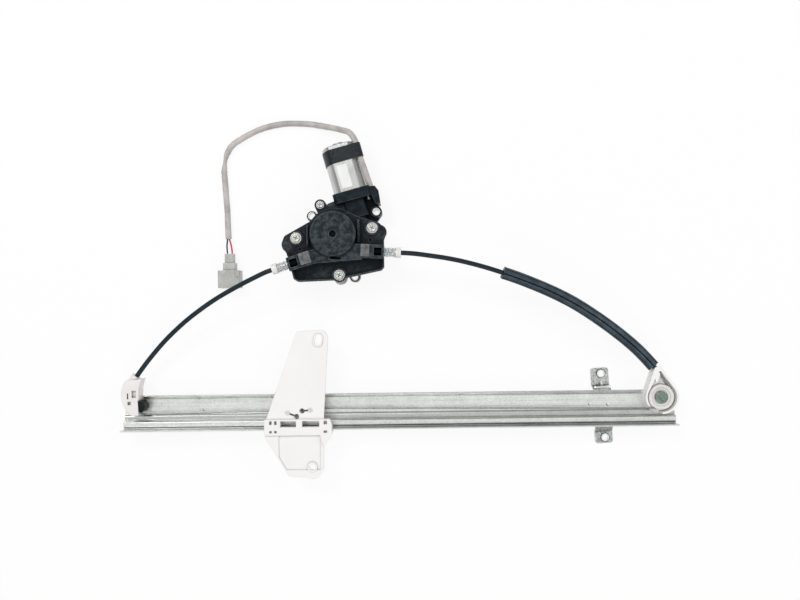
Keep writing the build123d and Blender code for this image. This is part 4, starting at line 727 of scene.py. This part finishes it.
def sleeve_skin(far, angle):
    """Radius * (1 - a narrow groove wherever the cosine of grooves * angle is near 1), with worn ends."""
    groove = np.clip(np.cos(sleeve_grooves * angle + 0.6), 0.0, 1.0) ** 6
    wander = 0.02 * np.sin(90.0 * far + 3 * angle)
    return sleeve_radius * (1.0 - 0.24 * groove + wander)


conduit_line = even(spline_line(conduit_route_mm), 1200)
along_conduit = distances(conduit_line)
sleeve_start = conduit_route_mm[1:3].mean(0) * mm
first = np.argmin(np.linalg.norm(conduit_line - sleeve_start, axis=1))
last = np.argmin(np.abs(along_conduit[-1] - along_conduit - sleeve_end_gap))
sleeve_line = even(conduit_line[first:last + 1], sleeve_rings)
sleeve_points, sleeve_faces = tube(sleeve_line, sleeve_skin, sleeve_spokes)
rings = sleeve_points.reshape(sleeve_rings, sleeve_spokes, 3)
turns = np.linspace(0.0, 2 * pi, sleeve_spokes, endpoint=False)
teeth = np.sign(np.sin(5 * turns)) * np.abs(np.sin(5 * turns)) ** 0.3
ragged = 0.55 * np.sin(2 * turns + 1.0) + 0.5 * teeth
for end, inner in ((0, 1), (-1, -2)):
    way = rings[end].mean(0) - rings[inner].mean(0)
    way /= np.linalg.norm(way)
    rings[end] += (ragged_by * ragged)[:, None] * way
sleeve = mesh_object("conduit_sleeve_ribbed", rings.reshape(-1, 3), sleeve_faces, sleeve_rubber, radians(50))
ride(sleeve, "base", "sleeve_rubber", "conduit_sleeve")
print("sleeve", round(distances(sleeve_line)[-1], 4), "m")

# %% [markdown]
# ## The stranded cable
#
# Two straight runs of cable join the carrier to the guide and to the pulley. The cable is six strands laid
# round a core: across it shows six lobes, and the lobes turn once in about ten millimetres. One end of each
# run belongs to the carrier and slides with it; these pieces stay where they are made and are tied to no
# body.

# %% The stranded cable
cable_radius = 0.75 * mm
cable_lay = 10.0 * mm
cable_step = 0.0009


def strands(far, angle):
    """Radius * (0.84 + 0.16 * |cosine of three times the angle|), turning once in each lay length."""
    return cable_radius * (0.84 + 0.16 * np.abs(np.cos(3 * (angle - 2 * pi * far / cable_lay))))


cable_runs = {
    "wire_left_run": ((-485.0, -36.0, 17.5), (-339.4, -34.5, 17.5)),
    "wire_right_run": ((57.4, -36.0, 17.5), (-309.9, -31.9, 17.5)),
}
for node, (fixed, moving) in cable_runs.items():
    ends_m = np.array([fixed, moving]) * mm
    steps = int(np.linalg.norm(ends_m[1] - ends_m[0]) / cable_step)
    cable = mesh_object(node + "_strands", *tube(even(ends_m, steps), strands, 24), cable_steel, radians(50))
    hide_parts(node)
    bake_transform(cable)
print("cable runs", len(cable_runs))

# %% [markdown]
# ## Small pressed and moulded details
#
# The grey plates on the two exit blocks of the drum housing are flat pads with a soft rim. The ears of the
# bracket were stiffened in the press: low ridges run into the fold. Another low ridge stiffens the drum
# housing's upper edge. A pad and a ridge are the same surface: a height over a rectangle that falls off at
# the rim, faster or slower by one power. In each exit block a thin black cup guides the spring of the
# tensioner; it is a profile turned once round its axis.

# %% A pad
def pad(name, centre_mm, way, half_mm, height_mm, power, finish, face=(0.0, 0.0, 1.0)):
    """Height * sqrt((1 - |s|^power) * (1 - |t|^power)) over a turned rectangle, closed below."""
    count = 15
    steps = np.sin(np.linspace(-pi / 2, pi / 2, count))
    s, t = np.meshgrid(steps, steps, indexing="ij")
    swell = height_mm * np.sqrt((1 - np.abs(s) ** power) * (1 - np.abs(t) ** power))
    along = np.array(way) / np.linalg.norm(way)
    up = np.array(face) - np.dot(face, along) * along
    up /= np.linalg.norm(up)
    across = np.cross(up, along)
    points = (np.array(centre_mm) + half_mm[0] * s[..., None] * along + half_mm[1] * t[..., None] * across
              + swell[..., None] * up) * mm
    row, column = np.meshgrid(np.arange(count - 1), np.arange(count - 1), indexing="ij")
    corner = row * count + column
    quads = np.stack([corner, corner + count, corner + count + 1, corner + 1], -1).reshape(-1, 4).tolist()
    rim = (list(range(0, count)) + list(range(2 * count - 1, count * count, count))
           + list(range(count * count - 2, count * (count - 1) - 1, -1))
           + list(range(count * (count - 2), 0, -count)))
    return mesh_object(name, points.reshape(-1, 3).tolist(), quads + [rim], finish, radians(60))


print("pad ready")

# %% Plates, ridges and cups
left_way, right_way = (-0.95882, -0.284015, 0.0), (0.998763, -0.049721, 0.0)
exit_top = 49.0
housing_slot, bracket_slot = slot_of["drum_housing"], slot_of["rail_bracket"]
ride(pad("exit_plate_left", (-314.5, 126.6, exit_top), left_way, (5.6, 6.2), 0.3, 12.0, insert_grey),
     "base", housing_slot)
ride(pad("exit_plate_right", (-252.6, 133.9, exit_top), right_way, (4.5, 6.4), 0.3, 12.0, insert_grey),
     "base", housing_slot)
# the bracket's ridges wear the brighter zinc as a painted highlight
ride(pad("fold_ridge_across", (0.6, -14.3, 5.9), (1.0, 0.05, 0.0), (8.9, 1.1), 0.9, 8.0, highlight_zinc,
         face=(0.0, 0.35, 0.94)), "base", bracket_slot)
ride(pad("fold_ridge_up", (0.3, -10.6, 2.1), (0.0, 1.0, 0.0), (3.6, 1.3), 1.3, 8.0, highlight_zinc,
         face=(0.0, -0.1, 0.99)), "base", bracket_slot)


def turned_ring(name, centre_mm, axis, profile_mm, finish, spokes=48):
    """Centre + along * axis + radius * outward, for each (radius, along) of a closed profile.

    The profile's inner side comes first, so that the faces look outwards.
    """
    axis = np.array(axis)
    side = np.cross((0.0, 0.0, 1.0), axis)
    angle = np.linspace(0.0, 2 * pi, spokes, endpoint=False)[:, None, None]
    radius, along = np.array(profile_mm).T[:, None, :, None]
    outward = np.cos(angle) * side + np.sin(angle) * np.array((0.0, 0.0, 1.0))
    points = (np.array(centre_mm) + along * axis + radius * outward) * mm
    count = len(profile_mm)
    turn, step = np.meshgrid(np.arange(spokes), np.arange(count), indexing="ij")
    turn_on, step_on = (turn + 1) % spokes, (step + 1) % count
    quads = np.stack([turn * count + step, turn * count + step_on, turn_on * count + step_on,
                      turn_on * count + step], -1).reshape(-1, 4)
    return mesh_object(name, points.reshape(-1, 3).tolist(), quads.tolist(), finish)


cup_profile = ((4.72, -10.3), (4.72, -1.6), (4.79, -1.6), (4.79, -10.3))
exits = {"left": ((-332.0, 120.149, 42.0), left_way), "right": ((-233.2, 132.031, 42.0), right_way)}
for hand, (spot, way) in exits.items():
    ride(turned_ring("spring_cup_" + hand, spot, way, cup_profile, cup_black), "base", housing_slot)
ride(pad("housing_ridge", (-261.4, 170.2, 34.2), (0.926, -0.378, 0.0), (11.0, 0.7), 1.2, 8.0, housing_black),
     "base", housing_slot)
print("plates", 2, "ridges", 3, "cups", len(exits))

# %% [markdown]
# ## Flanged screws
#
# Each screw has a flange, a hexagon on it, a dished top and a cross for the driver. Seen from above, all of
# these are closed curves round one axis, one inside the other: a circle, a hexagon, a circle and a
# four-pointed star. So the whole screw is one stack of rings, where each ring has its own curve and height.

# %% Flanged screws
turn = np.linspace(0.0, 2 * pi, 96, endpoint=False)
hexagon = cos(pi / 6) / np.cos((turn % (pi / 3)) - pi / 6)
star = 0.30 + 0.70 * np.abs(np.cos(2 * (turn + 0.35))) ** 6


def screw(centre_mm, flange, height, shank, length):
    """Rings (curve, height) from the shank's tip over flange, hexagon and dish down into the star."""
    corner, dish, cross = 0.78 * flange, 0.5 * flange, 0.42 * flange
    chamfer, star_depth = 0.35, 1.4
    circle = np.ones_like(turn)
    stack = [(shank * circle * 0.6, -length), (shank * circle, 1.0 - length), (shank * circle, 0.0),
             (flange * circle, 0.0), (flange * circle, 0.6), ((flange - 0.4) * circle, 1.0),
             (corner * hexagon, 1.0), (corner * hexagon, height - chamfer),
             ((corner - chamfer) * hexagon, height), (dish * circle, height),
             (0.92 * dish * circle, height - chamfer), (cross * star, height - chamfer),
             (0.8 * cross * star, height - star_depth)]
    rings = [np.column_stack([curve * np.cos(turn), curve * np.sin(turn), np.full_like(turn, z)])
             for curve, z in stack]
    return np.concatenate(rings) + centre_mm, grid_faces(len(stack), len(turn))


def screws(name, centres_mm, *sizes):
    """Several screws as one piece that stands for the node of that name."""
    made = [screw(centre, *sizes) for centre in centres_mm]
    starts = np.cumsum([0] + [len(points) for points, _ in made])
    faces = [[corner + start for corner in face]
             for (_, group), start in zip(made, starts) for face in group]
    points = np.concatenate([points for points, _ in made]) * mm
    piece = mesh_object(name + "_hexagon", points.tolist(), faces, screw_zinc, radians(30))
    return ride(piece, "base", slot_of[name], name)


housing_seat, case_seat = 35.6, 30.0
housing_places = ((-324.7, 148.1, housing_seat), (-245.6, 157.8, housing_seat), (-280.2, 109.1, housing_seat))
case_places = ((-299.8, 183.1, case_seat),)
screws("drum_housing_screws", housing_places, 5.9, 2.6, 1.6, 16.0)
screws("case_screw", case_places, 4.3, 2.4, 1.6, 14.0)
print("screws", len(housing_places) + len(case_places))

# %% [markdown]
# ## Flat fillings
#
# Under the cable's end the pulley's tray has a raised white floor, the drum housing's two ears are flat round
# lobes, and a web stiffens the motor's neck beside the gear housing's small ear. All are plates: a closed
# outline at a low height and again at a high one, with a slightly smaller outline on top for the rounded
# edge.

# %% Plates from an outline
def plate(name, outline_mm, low, high, edge, finish):
    """Outline at low, at high - edge, and pulled in by edge at high; the outline runs anticlockwise."""
    outline = np.array(outline_mm)
    tangent = np.roll(outline, -1, 0) - np.roll(outline, 1, 0)
    outward = np.column_stack([tangent[:, 1], -tangent[:, 0]]) / np.linalg.norm(tangent, axis=1)[:, None]
    rows = [(0.0, low), (0.0, high - edge), (0.3 * edge, high - 0.3 * edge), (edge, high)]
    rings = [np.column_stack([outline - inset * outward, np.full(len(outline), z)]) for inset, z in rows]
    points = np.concatenate(rings) * mm
    return mesh_object(name, points.tolist(), grid_faces(len(rows), len(outline)), finish)


def arc(centre, radius, start, end, count):
    """Centre + radius * (cos, sin) of angles in degrees from start to end."""
    angle = np.radians(np.linspace(start, end, count))
    return np.column_stack([centre[0] + radius * np.cos(angle), centre[1] + radius * np.sin(angle)])


tray_floor = np.concatenate([[(56.2, 1.4), (49.2, -12.8)], arc((59.4, -24.0), 13.9, 125, 43, 16),
                             [(58.3, 1.6)]])
ride(plate("tray_floor", tray_floor, 12.0, 16.3, 0.3, white_nylon), "base", slot_of["pulley_housing"])
ear_low, ear_high, ear_edge = 31.2, 33.9, 0.7
lobe = np.concatenate([arc((-331.9, 141.8), 8.5, 60, 285, 32), [(-322.0, 136.0), (-322.0, 147.0)]])
ride(plate("housing_lobe", lobe, ear_low, ear_high, ear_edge, housing_black), "base", housing_slot)
round_lobe = arc((-238.4, 153.5), 8.1, 0, 352.5, 48)
ride(plate("housing_lobe_right", round_lobe, ear_low, ear_high, ear_edge, housing_black), "base",
     housing_slot)
neck_web = [(-284.8, 187.5), (-292.1, 184.7), (-294.3, 181.1), (-292.9, 175.3), (-271.4, 170.9),
            (-271.2, 186.1), (-279.1, 188.8)]
ride(plate("neck_web", neck_web, 14.0, 28.5, 1.0, gearcase_black), "base", slot_of["gear_housing"])
print("tray floor, lobes and web")

# %% [markdown]
# ## Floor, air and lamps
#
# The part lies on a plain pale floor. The floor is partly its own white and partly a matte surface, so it is
# pale in the render and still takes the part's shadow. The sky is brighter overhead than at the horizon,
# as a soft box over a table is, and three large lamps give the rounded edges their lights.

# %% Floor
lowest = cad_box[0][2]
half = 3.0
floor_points = [(-half, -half, lowest), (half, -half, lowest), (half, half, lowest), (-half, half, lowest)]
floor_finish = Finish("floor_white")
seen = floor_finish.node("ShaderNodeLightPath", output="Is Camera Ray")
mirrored = floor_finish.node("ShaderNodeLightPath", output="Is Glossy Ray")
through = floor_finish.node("ShaderNodeLightPath", output="Is Transmission Ray")
matte = floor_finish.node("ShaderNodeBsdfDiffuse", {}, {"Color": (0.96, 0.96, 0.96, 1.0)})
glow = floor_finish.node("ShaderNodeEmission", {}, {"Color": (1.0, 1.0, 1.0, 1.0), "Strength": 1.0})
share = (seen + mirrored + through) * 0.88
floor_mix = floor_finish.node("ShaderNodeMixShader", {}, {0: share, 1: matte, 2: glow})
floor_finish.node("ShaderNodeOutputMaterial", {}, {"Surface": floor_mix})
floor = mesh_object("floor", floor_points, [(0, 1, 2, 3)], floor_finish.material)
print("floor at", round(lowest, 4), "m")

# %% Sky and lamps
world = bpy.data.worlds.new("studio")
bpy.context.scene.world = world
world.use_nodes = True
sky = world.node_tree
sky.nodes.clear()


def sky_node(kind, **sockets):
    """Adds a node to the sky, with numbers or links on its sockets."""
    new = sky.nodes.new(kind)
    for key, value in sockets.items():
        key = key.replace("_", " ")
        if isinstance(value, bpy.types.NodeSocket):
            sky.links.new(value, new.inputs[key])
        else:
            new.inputs[key].default_value = value
    return new


direction = sky_node("ShaderNodeTexCoord").outputs["Generated"]
height = sky_node("ShaderNodeSeparateXYZ", Vector=direction).outputs["Z"]
at_horizon, overhead = 0.12, 0.85
ramp = sky_node("ShaderNodeMapRange", Value=height, From_Min=0.0, From_Max=1.0, To_Min=at_horizon,
                To_Max=overhead)
room = sky_node("ShaderNodeBackground", Color=(1.0, 1.0, 1.0, 1.0), Strength=ramp.outputs["Result"])
backdrop = sky_node("ShaderNodeBackground", Color=(1.0, 1.0, 1.0, 1.0), Strength=1.0)
chooser = sky_node("ShaderNodeMixShader")
sky.links.new(sky_node("ShaderNodeLightPath").outputs["Is Camera Ray"], chooser.inputs[0])
sky.links.new(room.outputs[0], chooser.inputs[1])
sky.links.new(backdrop.outputs[0], chooser.inputs[2])
sky.links.new(chooser.outputs[0], sky_node("ShaderNodeOutputWorld").inputs["Surface"])


def lamp(name, place, aim, size, power):
    """A square area lamp at a place, turned to face its aim."""
    data = bpy.data.lights.new(name, "AREA")
    data.size = size
    data.energy = power
    light = bpy.data.objects.new(name, data)
    light.location = place
    towards = np.subtract(aim, place)
    light.rotation_euler = (
        float(np.arctan2(np.hypot(towards[0], towards[1]), -towards[2])), 0.0,
        float(np.arctan2(towards[1], towards[0]) - pi / 2))
    bpy.context.scene.collection.objects.link(light)


bpy.context.scene.view_settings.view_transform = "Standard"
middle = (-0.22, 0.08, 0.0)
lamp("key", (-0.9, 0.9, 1.3), middle, 0.5, 8.0)
lamp("side", (0.9, 0.4, 0.9), middle, 0.4, 3.0)
lamp("front", (-0.2, -1.1, 1.0), middle, 0.5, 3.0)
print("stage set")
